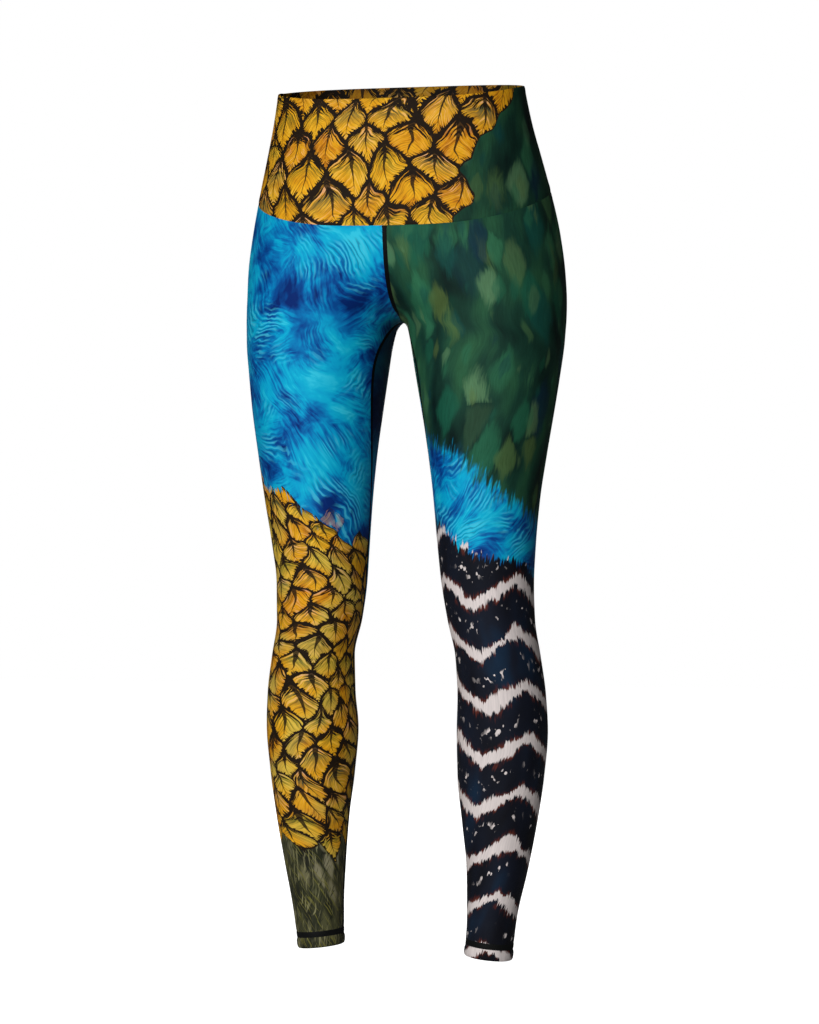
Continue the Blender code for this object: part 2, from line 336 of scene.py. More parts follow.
CREASES = {
    Side.RIGHT: (
        Crease(0.75, 0.548, 0.100, 0.012, 0.0022, 0.10),
        Crease(0.78, 0.566, 0.072, 0.010, 0.0016, -0.16),
        Crease(0.71, 0.529, 0.060, 0.011, 0.0012, 0.22),
        Crease(0.84, 0.280, 0.110, 0.016, 0.0020, 0.34),
        Crease(0.88, 0.302, 0.080, 0.014, 0.0015, 0.20),
        Crease(0.09, 0.281, 0.060, 0.011, 0.0007, -0.62),
        Crease(0.30, 0.905, 0.060, 0.009, 0.0006, 0.12),
        Crease(0.74, 0.892, 0.070, 0.011, 0.0010, -0.08),
    ),
    Side.LEFT: (
        Crease(0.74, 0.553, 0.092, 0.012, 0.0020, -0.06),
        Crease(0.70, 0.571, 0.066, 0.010, 0.0014, 0.18),
        Crease(0.80, 0.534, 0.058, 0.011, 0.0013, -0.20),
        Crease(0.83, 0.284, 0.102, 0.015, 0.0018, 0.30),
        Crease(0.89, 0.306, 0.086, 0.015, 0.0017, 0.18),
        Crease(0.10, 0.286, 0.052, 0.010, 0.0006, -0.55),
        Crease(0.22, 0.898, 0.056, 0.009, 0.0006, -0.10),
        Crease(0.72, 0.901, 0.064, 0.010, 0.0009, 0.10),
    ),
}


@dataclass(frozen=True)
class Garment:
    """Where every piece of cloth lies: the form, the drops of the cut lines, and the creases.

    The waist's edge and seam each have a drop, a tilt, which is how far half a cosine from front
    to back swings, and a curve, which is the same of a whole cosine.
    """

    form: BodyForm = BodyForm()
    waist_edge_line: tuple[float, float, float] = (0.002, 0.0215, 0.0015)
    band_seam_line: tuple[float, float, float] = (0.121, 0.037, 0.003)
    crotch_drop: float = 0.255
    crotch_dip: float = 0.045  # how far a row through the crotch dips round the thigh
    dip_power: float = 0.75  # below 1 it reaches far round
    thigh_end_drop: float = 0.375  # where the rows are level again
    hem_drop: float = 0.9425
    hem_tilt: float = 0.0027
    hem_front_rise: float = 0.0018
    seam_gap: float = 0.00002

    def waist_edge(self, around: np.ndarray) -> np.ndarray:
        """Drop of the top edge at each share around."""
        return self._tilted(self.waist_edge_line, around)

    def band_seam(self, around: np.ndarray) -> np.ndarray:
        """Drop of the seam between the waistband and the legs."""
        return self._tilted(self.band_seam_line, around)

    def _tilted(self, line: tuple[float, float, float], around: np.ndarray) -> np.ndarray:
        """Adds a line's drop, tilt and curve up."""
        drop, tilt, curve = line
        return drop + tilt * np.cos(math.pi * around) + curve * np.cos(FULL_TURN * around)

    def hem_edge(self, around: np.ndarray) -> np.ndarray:
        """Drop of the hem's edge, which is higher on the inside of the ankle and at the front."""
        turn = FULL_TURN * around
        return self.hem_drop - self.hem_tilt * np.cos(turn) - self.hem_front_rise * np.sin(turn)

    def relief(self, side: Side, around: np.ndarray, drop: np.ndarray) -> np.ndarray:
        """Depth of all creases of one side together, at shares around and drops."""
        girth = self.form.girth(side, drop)
        return sum(crease.dip(around, drop, girth) for crease in CREASES[side])


# ---------------------------------------------------------------------------------------------
# Meshes
# ---------------------------------------------------------------------------------------------


def edge_roll(distance: np.ndarray, thickness: np.ndarray | float, roundness: float = 0.95) -> np.ndarray:
    """How far a wall's face turns in near its rim: a quarter circle half a wall in radius.

    Args:
        distance: Distance from the rim.
        thickness: The wall's thickness.
        roundness: 1 brings both faces together at the rim.

    Returns:
        How far each point moves towards the middle of the wall.
    """
    radius = thickness / 2
    share = roundness * np.clip(1 - distance / radius, 0, 1)
    return radius * (1 - np.sqrt(1 - share**2))


def arcs_along(points: np.ndarray, middle: int) -> np.ndarray:
    """Level distance along each row of points, which is 0 in the middle column, negative before.

    Args:
        points: Points in rows.
        middle: Number of the column to measure from.

    Returns:
        The distances.
    """
    steps = np.linalg.norm(np.diff(points[..., :2], axis=1), axis=-1)
    arcs = np.concatenate([np.zeros((len(points), 1)), np.cumsum(steps, axis=1)], axis=1)
    return arcs - arcs[:, (middle,)]


def from_ends(points: np.ndarray) -> np.ndarray:
    """Level distance of each point from the nearer end of its row."""
    arcs = arcs_along(points, 0)
    return np.minimum(arcs, arcs[:, (-1,)] - arcs)


def strip(first: np.ndarray, second: np.ndarray, turned: bool = False) -> np.ndarray:
    """Four-cornered faces between two lines of point numbers, or between two stacks of lines.

    Args:
        first: The first line, or stack of them.
        second: The second one.
        turned: Whether the corners run from the first line along it, and not across it.

    Returns:
        Corner numbers of the faces, one row each.
    """
    corners = [first[..., :-1], second[..., :-1], second[..., 1:], first[..., 1:]]
    if turned:
        corners[1:] = corners[:0:-1]
    return np.stack(corners, -1).reshape(-1, 4)


def new_piece(
    name: str,
    points: np.ndarray,
    corners: np.ndarray,
    places: np.ndarray,
    finishes: Sequence[bpy.types.Material],
    finish_of_face: np.ndarray | None = None,
    sharp_angle: float = 40.0,
) -> bpy.types.Object:
    """Makes a mesh object at the origin.

    Args:
        name: The piece's name.
        points: Its points, one row each.
        corners: Point numbers of its four-cornered faces, one row each.
        places: Place on the cloth of each corner, for the UV map.
        finishes: Its materials.
        finish_of_face: Which of them each face has. The first one if left out.
        sharp_angle: Edges that turn more than this many degrees stay sharp.

    Returns:
        The object.
    """
    used, numbers = np.unique(corners, return_inverse=True)
    mesh = bpy.data.meshes.new(name)
    mesh.from_pydata(points[used].tolist(), [], numbers.reshape(corners.shape).tolist())
    layer = mesh.uv_layers.new(name="cloth")
    layer.uv.foreach_set("vector", places.reshape(-1).astype(np.float32))
    for finish in finishes:
        mesh.materials.append(finish)
    if finish_of_face is not None:
        mesh.polygons.foreach_set("material_index", finish_of_face.astype(np.int32))
    mesh.shade_smooth()
    mesh.set_sharp_from_angle(angle=math.radians(sharp_angle))
    mesh.update()
    piece = bpy.data.objects.new(name, mesh)
    bpy.context.scene.collection.objects.link(piece)
    return piece


def wall_faces(outside: np.ndarray, inside: np.ndarray, open_rows: int) -> tuple[np.ndarray, np.ndarray]:
    """The faces of a wall between two grids of numbers: both sides, both rims and the open ends.

    Args:
        outside: Numbers of the outer points, in rows down and columns around.
        inside: Numbers of the inner points.
        open_rows: How many strips of the first and last column are open and get an end face.

    Returns:
        Corner numbers of the faces, and 1 for each face of the inside, 0 for the others.
    """
    ends = slice(0, open_rows + 1)
    parts = (
        strip(outside[:-1], outside[1:]),
        strip(inside[:-1], inside[1:], turned=True),
        strip(outside[0], inside[0], turned=True),
        strip(outside[-1], inside[-1]),
        strip(outside[ends, 0], inside[ends, 0]),
        strip(outside[ends, -1], inside[ends, -1], turned=True),
    )
    return np.concatenate(parts), np.repeat([0, 1, 0, 0, 0, 0], [len(part) for part in parts])


@dataclass
class Shell:
    """A thin wall of cloth between an outer and an inner grid of points, in rows and columns."""

    outer: np.ndarray
    inner: np.ndarray
    cloth: np.ndarray  # place on the flat cloth of each of them
    clockwise: bool  # whether the columns run clockwise, seen from above
    closed_from: int | None = None  # from this row on the first and last column are one

    def piece(self, name: str, face: bpy.types.Material, reverse: bpy.types.Material) -> bpy.types.Object:
        """Makes the shell a piece of the scene.

        Args:
            name: The piece's name.
            face: Material of the outside and the rims.
            reverse: Material of the inside.

        Returns:
            The object.
        """
        rows, columns = self.outer.shape[:2]
        flat = np.arange(rows * columns).reshape(rows, columns)
        ring = flat.copy()
        open_rows = rows - 1
        if self.closed_from is not None:
            ring[self.closed_from :, -1] = ring[self.closed_from :, 0]
            open_rows = self.closed_from
        corners, finish = wall_faces(ring, ring + rows * columns, open_rows)
        places, _ = wall_faces(flat, flat, open_rows)
        if self.clockwise:
            corners, places = corners[:, ::-1], places[:, ::-1]
        points = np.concatenate([self.outer.reshape(-1, 3), self.inner.reshape(-1, 3)])
        return new_piece(name, points, corners, self.cloth.reshape(-1, 2)[places], (face, reverse), finish)

    def area(self) -> float:
        """Area of the outer grid, as the sum of its quads' half cross products of diagonals.

        Returns:
            The area.
        """
        one = self.outer[1:, 1:] - self.outer[:-1, :-1]
        other = self.outer[1:, :-1] - self.outer[:-1, 1:]
        return float(np.linalg.norm(np.cross(one, other), axis=-1).sum() / 2)


# ---------------------------------------------------------------------------------------------
# Thread
# ---------------------------------------------------------------------------------------------


@dataclass
class SeamLine:
    """A line on the cloth, with a unit normal that points away from the body at each point."""

    points: np.ndarray
    normals: np.ndarray
    closed: bool = False  # a ring, whose last point isn't the first one again

    def spaced(self, step: float) -> "SeamLine":
        """The same line with points at even distances of about a step, interpolated linearly.

        Args:
            step: The distance.

        Returns:
            The new line.
        """
        both = np.concatenate([self.points, self.normals], axis=1)
        if self.closed:
            both = np.concatenate([both, both[:1]])
        run = np.concatenate([[0], np.cumsum(np.linalg.norm(np.diff(both[:, :3], axis=0), axis=1))])
        at = np.linspace(0, run[-1], max(int(round(run[-1] / step)), 2) + 1)
        if self.closed:
            at = at[:-1]
        new = np.stack([np.interp(at, run, column) for column in both.T], axis=1)
        return SeamLine(new[:, :3], unit(new[:, 3:]), self.closed)

    def axes(self) -> tuple[np.ndarray, np.ndarray, np.ndarray]:
        """Unit vectors along the line, across it on the cloth, and away from the cloth.

        Returns:
            The three vectors at each point.
        """
        if self.closed:
            along = unit(np.roll(self.points, -1, axis=0) - np.roll(self.points, 1, axis=0))
        else:
            along = unit(np.gradient(self.points, axis=0))
        across = unit(np.cross(along, self.normals))
        return along, across, np.cross(across, along)


def tube_faces(rings: int, sides: int, closed: bool) -> np.ndarray:
    """Faces of one tube whose rings of points follow each other, with flat ends of quads.

    Args:
        rings: How many rings of points it has.
        sides: Points in a ring, an even number.
        closed: Whether the last ring joins the first one.

    Returns:
        Corner numbers of its faces.
    """
    ring = np.arange(rings * sides).reshape(rings, sides)
    around = np.concatenate([ring, ring[:, :1]], axis=1)
    if closed:
        around = np.concatenate([around, around[:1]])
        return strip(around[:-1], around[1:])
    near, far = ring[:, : sides // 2], ring[:, : sides // 2 - 1 : -1]
    ends = strip(near[0], far[0], turned=True), strip(near[-1], far[-1])
    return np.concatenate([strip(around[:-1], around[1:]), *ends])


@dataclass(frozen=True)
class FlatSeam:
    """A flat seam as a sewing machine covers it: a low pad of thread with loops across it."""

    width: float = 0.0052
    crown: float = 0.00030  # height of the pad's middle above the cloth
    bury: float = 0.00045  # how deep its underside lies under the cloth's face
    pad_step: float = 0.0016
    pad_sides: int = 12
    loop_step: float = 0.00125
    loop_rings: int = 5
    loop_sides: int = 4
    thread: float = 0.00042  # thickness of the thread
    slant: float = 0.0010  # how far each loop leans along the seam, to one side and the other in turn

    def _pad(self, line: SeamLine) -> tuple[np.ndarray, np.ndarray]:
        """Points and faces of the pad: a flattened oval, carried along the line.

        Args:
            line: The line that it follows.

        Returns:
            The points, and the corner numbers of the faces.
        """
        line = line.spaced(self.pad_step)
        _, across, up = line.axes()
        turn = np.arange(self.pad_sides) / self.pad_sides * FULL_TURN
        side = self.width / 2 * np.cos(turn)
        height = np.where(np.sin(turn) > 0, self.crown, self.bury) * np.sin(turn)
        points = line.points[:, None] + across[:, None] * side[:, None] + up[:, None] * height[:, None]
        return points.reshape(-1, 3), tube_faces(len(line.points), self.pad_sides, line.closed)

    def _loops(self, line: SeamLine) -> tuple[np.ndarray, np.ndarray]:
        """Points and faces of the loops: thin tubes that arch over the pad, slanting in turn.

        Args:
            line: The line that they follow.

        Returns:
            The points, and the corner numbers of the faces.
        """
        line = line.spaced(self.loop_step)
        along, across, up = (axis[:, None] for axis in line.axes())
        number = np.arange(len(line.points))
        span = np.linspace(-1, 1, self.loop_rings)
        lean = np.where(number % 2, 1.0, -1.0)[:, None] * span * self.slant / 2
        arch = self.crown * np.sqrt(1 - (0.94 * span) ** 2)
        middle = line.points[:, None] + across * (span * self.width / 2)[:, None]
        middle = middle + along * lean[..., None] + up * arch[:, None]
        turn = (np.arange(self.loop_sides) + 0.5) / self.loop_sides * FULL_TURN
        fat = self.thread / 2 * np.sqrt(np.clip(1.15 - span**2, 0.15, 1))[:, None]
        level, upright = (way(turn) * fat for way in (np.cos, np.sin))
        ring = along[:, None] * level[..., None] + up[:, None] * upright[..., None]
        one = tube_faces(self.loop_rings, self.loop_sides, closed=False)[:, ::-1]
        faces = one + (number * self.loop_rings * self.loop_sides)[:, None, None]
        return (middle[:, :, None] + ring).reshape(-1, 3), faces.reshape(-1, 4)

    def piece(self, name: str, line: SeamLine, finish: bpy.types.Material) -> bpy.types.Object:
        """Makes the thread along a line a piece of the scene.

        Args:
            name: The piece's name.
            line: The line that it follows.
            finish: Its material.

        Returns:
            The object.
        """
        (pad, pad_faces), (loops, loop_faces) = self._pad(line), self._loops(line)
        points = np.concatenate([pad, loops])
        corners = np.concatenate([pad_faces, loop_faces + len(pad)])
        return new_piece(name, points, corners, points[corners][..., (0, 2)], (finish,), sharp_angle=70.0)


# ---------------------------------------------------------------------------------------------
# Node trees
# ---------------------------------------------------------------------------------------------


def sign(operation: str, swapped: bool = False) -> Callable[..., "Wire"]:
    """One of Python's signs for wires.

    Args:
        operation: The Math node's operation.
        swapped: Whether the wire is the second value.

    Returns:
        The method for the sign, which adds the node.
    """

    def method(wire: "Wire", other: Value = 0.0) -> "Wire":
        """Adds the node."""
        return wire.graph.math(operation, *((other, wire) if swapped else (wire, other)))

    return method


class Wire:
    """An output in a node tree. Python's signs on it add the nodes that they mean."""

    def __init__(self, graph: "Graph", socket: bpy.types.NodeSocket) -> None:
        """Takes the output's socket, and the graph that it is in."""
        self.graph, self.socket = graph, socket

    __add__, __radd__ = sign("ADD"), sign("ADD", swapped=True)
    __sub__, __rsub__ = sign("SUBTRACT"), sign("SUBTRACT", swapped=True)
    __mul__, __rmul__ = sign("MULTIPLY"), sign("MULTIPLY", swapped=True)
    __truediv__, __abs__, __round__ = sign("DIVIDE"), sign("ABSOLUTE"), sign("ROUND")


def choose(share: Value, first: Value, second: Value) -> Value:
    """The first number where share is 0, and the second where it is 1."""
    return first + share * (second - first)


class Graph:
    """Short calls that add nodes to one node tree and join them."""

    def __init__(self, tree: bpy.types.NodeTree) -> None:
        """Takes the node tree to fill."""
        self.tree = tree

    def feed(self, socket: bpy.types.NodeSocket, value: Value) -> None:
        """Links a socket to a wire, or sets it to a number, a vector or a colour.

        Args:
            socket: The input.
            value: What feeds it.
        """
        if isinstance(value, Wire):
            self.tree.links.new(value.socket, socket)
        elif isinstance(socket.default_value, float):
            socket.default_value = value
        else:
            room = len(socket.default_value)
            socket.default_value = (*value, 1.0)[:room] if isinstance(value, tuple) else (value,) * room

    def dress(self, node: bpy.types.Node, **values: object) -> bpy.types.Node:
        """Sets a node up. Names in small letters are its settings, and the others its inputs.

        Args:
            node: The node.
            values: Its settings and inputs by name, with _ for a space.

        Returns:
            The node.
        """
        for name, value in values.items():
            if name.islower():
                setattr(node, name, value)
            else:
                self.feed(node.inputs[name.replace("_", " ")], value)
        return node

    def add(self, kind: str, **values: object) -> bpy.types.Node:
        """Adds a shader node and sets it up."""
        return self.dress(self.tree.nodes.new(f"ShaderNode{kind}"), **values)

    def wire(self, kind: str, output: str | int = 0, **values: object) -> Wire:
        """Adds a shader node, sets it up and returns one of its outputs."""
        return Wire(self, self.add(kind, **values).outputs[output])

    def use(self, group: "ShaderGroup", **values: Value) -> list[Wire]:
        """Places a shader group and returns its outputs."""
        return [Wire(self, output) for output in self.add("Group", node_tree=group.tree(), **values).outputs]

    def math(self, operation: str, *values: Value) -> Wire:
        """Adds a Math node, or a Vector Math node if one of the values is a vector or a colour.

        Args:
            operation: What the node works out.
            values: Its inputs, in order.

        Returns:
            Its output.
        """
        wide = any(isinstance(v, tuple) or isinstance(v, Wire) and v.socket.type != "VALUE" for v in values)
        node = self.add("VectorMath" if wide else "Math", operation=operation)
        for socket, value in zip(node.inputs, values):
            self.feed(socket, value)
        return Wire(self, node.outputs[0])

    def split(self, place: Wire) -> tuple[Wire, Wire]:
        """X and Y of a vector."""
        node = self.add("SeparateXYZ", Vector=place)
        return Wire(self, node.outputs[0]), Wire(self, node.outputs[1])

    def joined(self, x: Value, y: Value, z: Value = 0.0) -> Wire:
        """A vector of three values."""
        return self.wire("CombineXYZ", X=x, Y=y, Z=z)

    def turned(self, place: Value, angle: float) -> Wire:
        """Turns a place about the origin, in the plane of the cloth."""
        return self.wire("VectorRotate", rotation_type="Z_AXIS", Vector=place, Angle=angle)

    def noise(self, *at: Value, scale: float = 1.0, detail: float = 2.0, roughness: float = 0.5) -> Wire:
        """A noise about 0.5 at a place, which is given as one vector or as its X, Y and Z."""
        place = self.joined(*at) if len(at) > 1 else at[0]
        return self.wire("TexNoise", Vector=place, Scale=scale, Detail=detail, Roughness=roughness)

    def drift(self, place: Wire, scale: float, reach: float, detail: float = 1.0) -> Wire:
        """Moves a place by up to about half of reach each way, by noise."""
        wander = self.wire("TexNoise", "Color", Vector=place, Scale=scale, Detail=detail)
        return place + (wander - 0.5) * (reach, reach, 0.0)

    def chance(self, x: Value, y: Value, z: Value) -> Wire:
        """A random value for each place."""
        return self.wire("TexWhiteNoise", "Value", noise_dimensions="3D", Vector=self.joined(x, y, z))

    def cells(self, place: Wire, feature: str) -> bpy.types.Node:
        """Adds a Voronoi Texture of lozenge-shaped cells, about one unit wide."""
        shape = {"feature": feature, "distance": "MINKOWSKI"}
        return self.add("TexVoronoi", **shape, Vector=place, Scale=1.0, Exponent=1.35)

    def step(self, value: Value, low: Value, high: Value) -> Wire:
        """A smooth ramp from 0 at low to 1 at high, which may be the lower of the two."""
        ends = {"Value": value, "From_Min": low, "From_Max": high}
        return self.wire("MapRange", "Result", interpolation_type="SMOOTHSTEP", **ends)

    def blend(self, share: Value, first: Value, second: Value) -> Wire:
        """The first colour where share is 0, and the second where it is 1.

        Args:
            share: From 0 to 1.
            first: One colour.
            second: The other.

        Returns:
            The mixed colour.
        """
        node = self.add("Mix", data_type="RGBA", Factor=share)
        one, other, result = (s for s in (*node.inputs, *node.outputs) if s.type == "RGBA")
        self.feed(one, first)
        self.feed(other, second)
        return Wire(self, result)

    def coats(self, colour: Value, *coats: tuple[Value, Value]) -> Wire:
        """Lays colours over one, in turn. Each coat is the share that it covers and its colour.

        Args:
            colour: The colour below.
            coats: The coats.

        Returns:
            The colour on top.
        """
        for share, coat in coats:
            colour = self.blend(share, colour, coat)
        return colour

    def ramp(self, value: Wire, stops: Sequence[tuple[float, Colour]]) -> Wire:
        """A colour for each value, from stops of a place from 0 to 1 and a colour.

        Args:
            value: From 0 to 1.
            stops: The stops, at least two.

        Returns:
            The colour.
        """
        node = self.add("ValToRGB")
        self.feed(node.inputs[0], value)
        elements = node.color_ramp.elements
        for _ in stops[2:]:
            elements.new(0.5)
        for element, (place, colour) in zip(elements, stops):
            element.position = place
            element.color = (*colour, 1.0)
        return Wire(self, node.outputs[0])


class ShaderGroup:
    """A shader node group that is built once and placed in several materials.

    A subclass names its inputs, each with the number it starts at, or None for a vector, and its
    outputs, each with its kind of socket.
    """

    name = ""
    inputs: dict[str, float | None] = {"Place": None}
    outputs: dict[str, str] = {"Colour": "Color"}

    def tree(self) -> bpy.types.NodeTree:
        """The group's node tree, which the first call builds.

        Returns:
            The node tree.
        """
        known = bpy.data.node_groups.get(self.name)
        if known is not None:
            return known
        tree = bpy.data.node_groups.new(self.name, "ShaderNodeTree")
        for name, value in self.inputs.items():
            kind = "NodeSocketVector" if value is None else "NodeSocketFloat"
            socket = tree.interface.new_socket(name=name, in_out="INPUT", socket_type=kind)
            if value is not None:
                socket.default_value = value
        for name, kind in self.outputs.items():
            tree.interface.new_socket(name=name, in_out="OUTPUT", socket_type=f"NodeSocket{kind}")
        graph = Graph(tree)
        given = [Wire(graph, socket) for socket in tree.nodes.new("NodeGroupInput").outputs]
        results = self.fill(graph, *given[: len(self.inputs)])
        for socket, result in zip(tree.nodes.new("NodeGroupOutput").inputs, results):
            graph.feed(socket, result)
        return tree

    def fill(self, g: Graph, place: Wire) -> tuple[Wire, ...]:
        """Adds the nodes to a graph, from the group's inputs, and returns its outputs."""
        raise NotImplementedError


# ---------------------------------------------------------------------------------------------
# Prints
# ---------------------------------------------------------------------------------------------


class LeafLattice(ShaderGroup):
    """Pointed leaves that hang in columns, each column half a leaf lower than the next one.

    Two sine curves that swing apart and together bound a column of leaves, and the spaces
    between two columns are leaves of the same form. The group also puts out each leaf's
    middle, so that a print can end along whole leaves.
    """

    name = "leaf_lattice"
    inputs = {"Place": None, "Half Width": 0.022, "Length": 0.052, "Line": 0.0026, "Lean": 0.0, "Lime": 0.0}
    outputs = {"Colour": "Color", "Centre": "Vector"}
    ink: Colour = (0.014, 0.008, 0.004)
    stem: Colour = (0.060, 0.046, 0.008)
    olive: Colour = (0.120, 0.140, 0.016)
    teal: Colour = (0.012, 0.080, 0.045)
    lime: Colour = (0.640, 0.620, 0.120)
    blush: Colour = (0.80, 0.46, 0.34)
    gold_stops = (
        (0.00, (0.085, 0.030, 0.003)),
        (0.20, (0.300, 0.095, 0.004)),
        (0.38, (0.580, 0.205, 0.006)),
        (0.56, (0.760, 0.335, 0.008)),
        (0.78, (0.840, 0.415, 0.012)),
        (1.00, (0.900, 0.520, 0.045)),
    )

    def fill(
        self, g: Graph, place: Wire, half: Wire, length: Wire, line: Wire, lean: Wire, lime: Wire
    ) -> tuple[Wire, ...]:
        """Adds the nodes.

        Args:
            g: The group's graph.
            place: Place on the cloth.
            half: Half the width of a column of leaves.
            length: Length of a leaf.
            line: Width of the dark outline.
            lean: How far the columns lean, as a slope.
            lime: How much lime green the leaves have.

        Returns:
            The colour, and the middle of each leaf.
        """
        x, y = g.split(place)
        leant = g.joined(x + y * lean, y)
        x, y = g.split(g.drift(g.drift(g.drift(leant, 9.0, 0.070), 30.0, 0.016), 80.0, 0.0040))
        u, v = x / half, y / length
        turn = v * FULL_TURN
        swung = g.math("PINGPONG", u, 1.0)
        uneven = g.noise(leant, scale=24.0, detail=1.0) - 0.5
        margin = g.math("COSINE", turn) * 0.5 + 0.5 - swung + uneven * 0.55
        even = g.math("GREATER_THAN", margin, 0.0)
        column = choose(even, round((u - 1.0) * 0.5) * 2.0 + 1.0, round(u * 0.5) * 2.0)
        row = choose(even, round(v - 0.5) + 0.5, round(v))
        across, along = abs((u - column) * half), v - row
        one, other = g.chance(column, row, 3.0), g.chance(row, column, 8.0)

        steep = half / length * math.pi * g.math("SINE", turn)
        side_gap = abs(margin) * half / g.math("SQRT", steep * steep + 1.0)
        gap = g.math("MINIMUM", side_gap, choose(even, swung, 1.0 - swung) * half)
        slanted = across * 0.95 + along * length
        stroke = g.noise(slanted * 560.0, across * 60.0, one * 40.0, detail=3.0, roughness=0.6)
        upper = g.step(along, -0.05, 0.42)
        fringe = g.step(stroke, 0.44, 0.60) * ((upper * 4.2 + 0.75) * line)
        outline = g.step(gap - (line * 0.30 + fringe), 0.0004, -0.0002)

        rib_width = g.step(along, -0.36, 0.46) * 0.0021 + 0.0001
        rib = g.step(across, rib_width * 1.3, rib_width) * g.step(along, -0.40, -0.22)
        vein_gap = g.math("PINGPONG", slanted + other * 0.01, 0.0021)
        vein = g.step(vein_gap, 0.00062, 0.00018) * g.step(stroke, 0.36, 0.60) * 0.55
        patch = g.noise(leant, scale=60.0)
        light = 0.66 - (stroke - 0.5) * 1.10 + (patch - 0.5) * 0.95 + (one - 0.5) * 0.30
        shade = upper * 0.24 + g.step(gap, 0.006, 0.0) * 0.12
        sunny = g.step(g.noise(leant, scale=22.0, detail=1.0), 0.42, 0.66) * lime
        dusk = g.blend(g.step(other, 0.45, 0.60), self.olive, self.teal)
        dusky = g.step(one, 0.05, 0.42) * g.step(along, -0.22, 0.20) * g.step(stroke, 0.40, 0.54)
        pale = g.step(stroke, 0.44, 0.34) * g.step(other, 0.20, 0.75) * (upper * 0.5 + 0.35)
        colour = g.coats(
            g.ramp(light - shade, self.gold_stops),
            (sunny, self.lime),
            (dusky * 0.9, dusk),
            (pale, self.blush),
            (vein, self.stem),
            (g.step(along, 0.26, 0.48) * 0.75, self.stem),
            (rib * 0.92, self.ink),
            (outline, self.ink),
        )
        return colour, g.joined(column * half, row * length)


class WaterStrokes(ShaderGroup):
    """Blue water in brush strokes: patches of tone, and light ripples in some of them.

    The strokes run three ways. Each way shows where a noise of its own is high, so that one runs
    into the next without an edge.
    """

    name = "water_strokes"
    ways = ((-0.62, 0.0), (0.30, 1.7), (1.05, 5.3))
    ripple_step = 0.0058
    tone_stops = (
        (0.12, (0.000, 0.020, 0.150)),
        (0.30, (0.000, 0.075, 0.310)),
        (0.46, (0.000, 0.190, 0.480)),
        (0.60, (0.000, 0.345, 0.620)),
        (0.76, (0.002, 0.440, 0.670)),
        (0.94, (0.030, 0.560, 0.760)),
    )
    light: Colour = (0.060, 0.560, 0.760)
    depth: Colour = (0.0, 0.030, 0.180)

    def fill(self, g: Graph, place: Wire) -> tuple[Wire, ...]:
        """Adds the nodes.

        Args:
            g: The group's graph.
            place: Place on the cloth.

        Returns:
            The colour.
        """
        still = place
        place = g.drift(g.drift(place, 8.0, 0.085), 34.0, 0.014, detail=2.0)
        wobble = (g.noise(place, scale=70.0, detail=1.0) - 0.5) * 0.010
        stroke, line, trough = 0.5, 0.0, 0.0
        for turn, seed in self.ways:
            way = g.turned(place + (seed, seed, 0.0), turn)
            bristles = g.noise(way * (34.0, 260.0, 1.0), detail=3.0, roughness=0.55)
            field = g.noise(still + (seed, 0.3, 0.0), scale=15.0, detail=1.0)
            crest = g.math("PINGPONG", g.split(way)[1] + wobble, self.ripple_step / 2)
            ragged = crest + (bristles - 0.5) * 0.004
            shown, share = g.step(field, 0.56, 0.66), g.step(field, 0.46, 0.56)
            stroke = choose(share, stroke, bristles)
            line = choose(share, line, g.step(ragged, 0.0013, 0.0005) * shown)
            trough = choose(share, trough, g.step(ragged, 0.0019, 0.0026) * shown)
        patch = g.noise(place, scale=20.0, detail=4.0, roughness=0.58)
        broad = g.noise(still, scale=7.0, detail=1.0)
        tone = 0.51 + (stroke - 0.5) * 1.05 + (patch - 0.5) * 2.00 + (broad - 0.5) * 0.60
        lit = line * g.step(patch, 0.34, 0.48) * 0.72
        return (g.coats(g.ramp(tone, self.tone_stops), (trough * 0.50, self.depth), (lit, self.light)),)


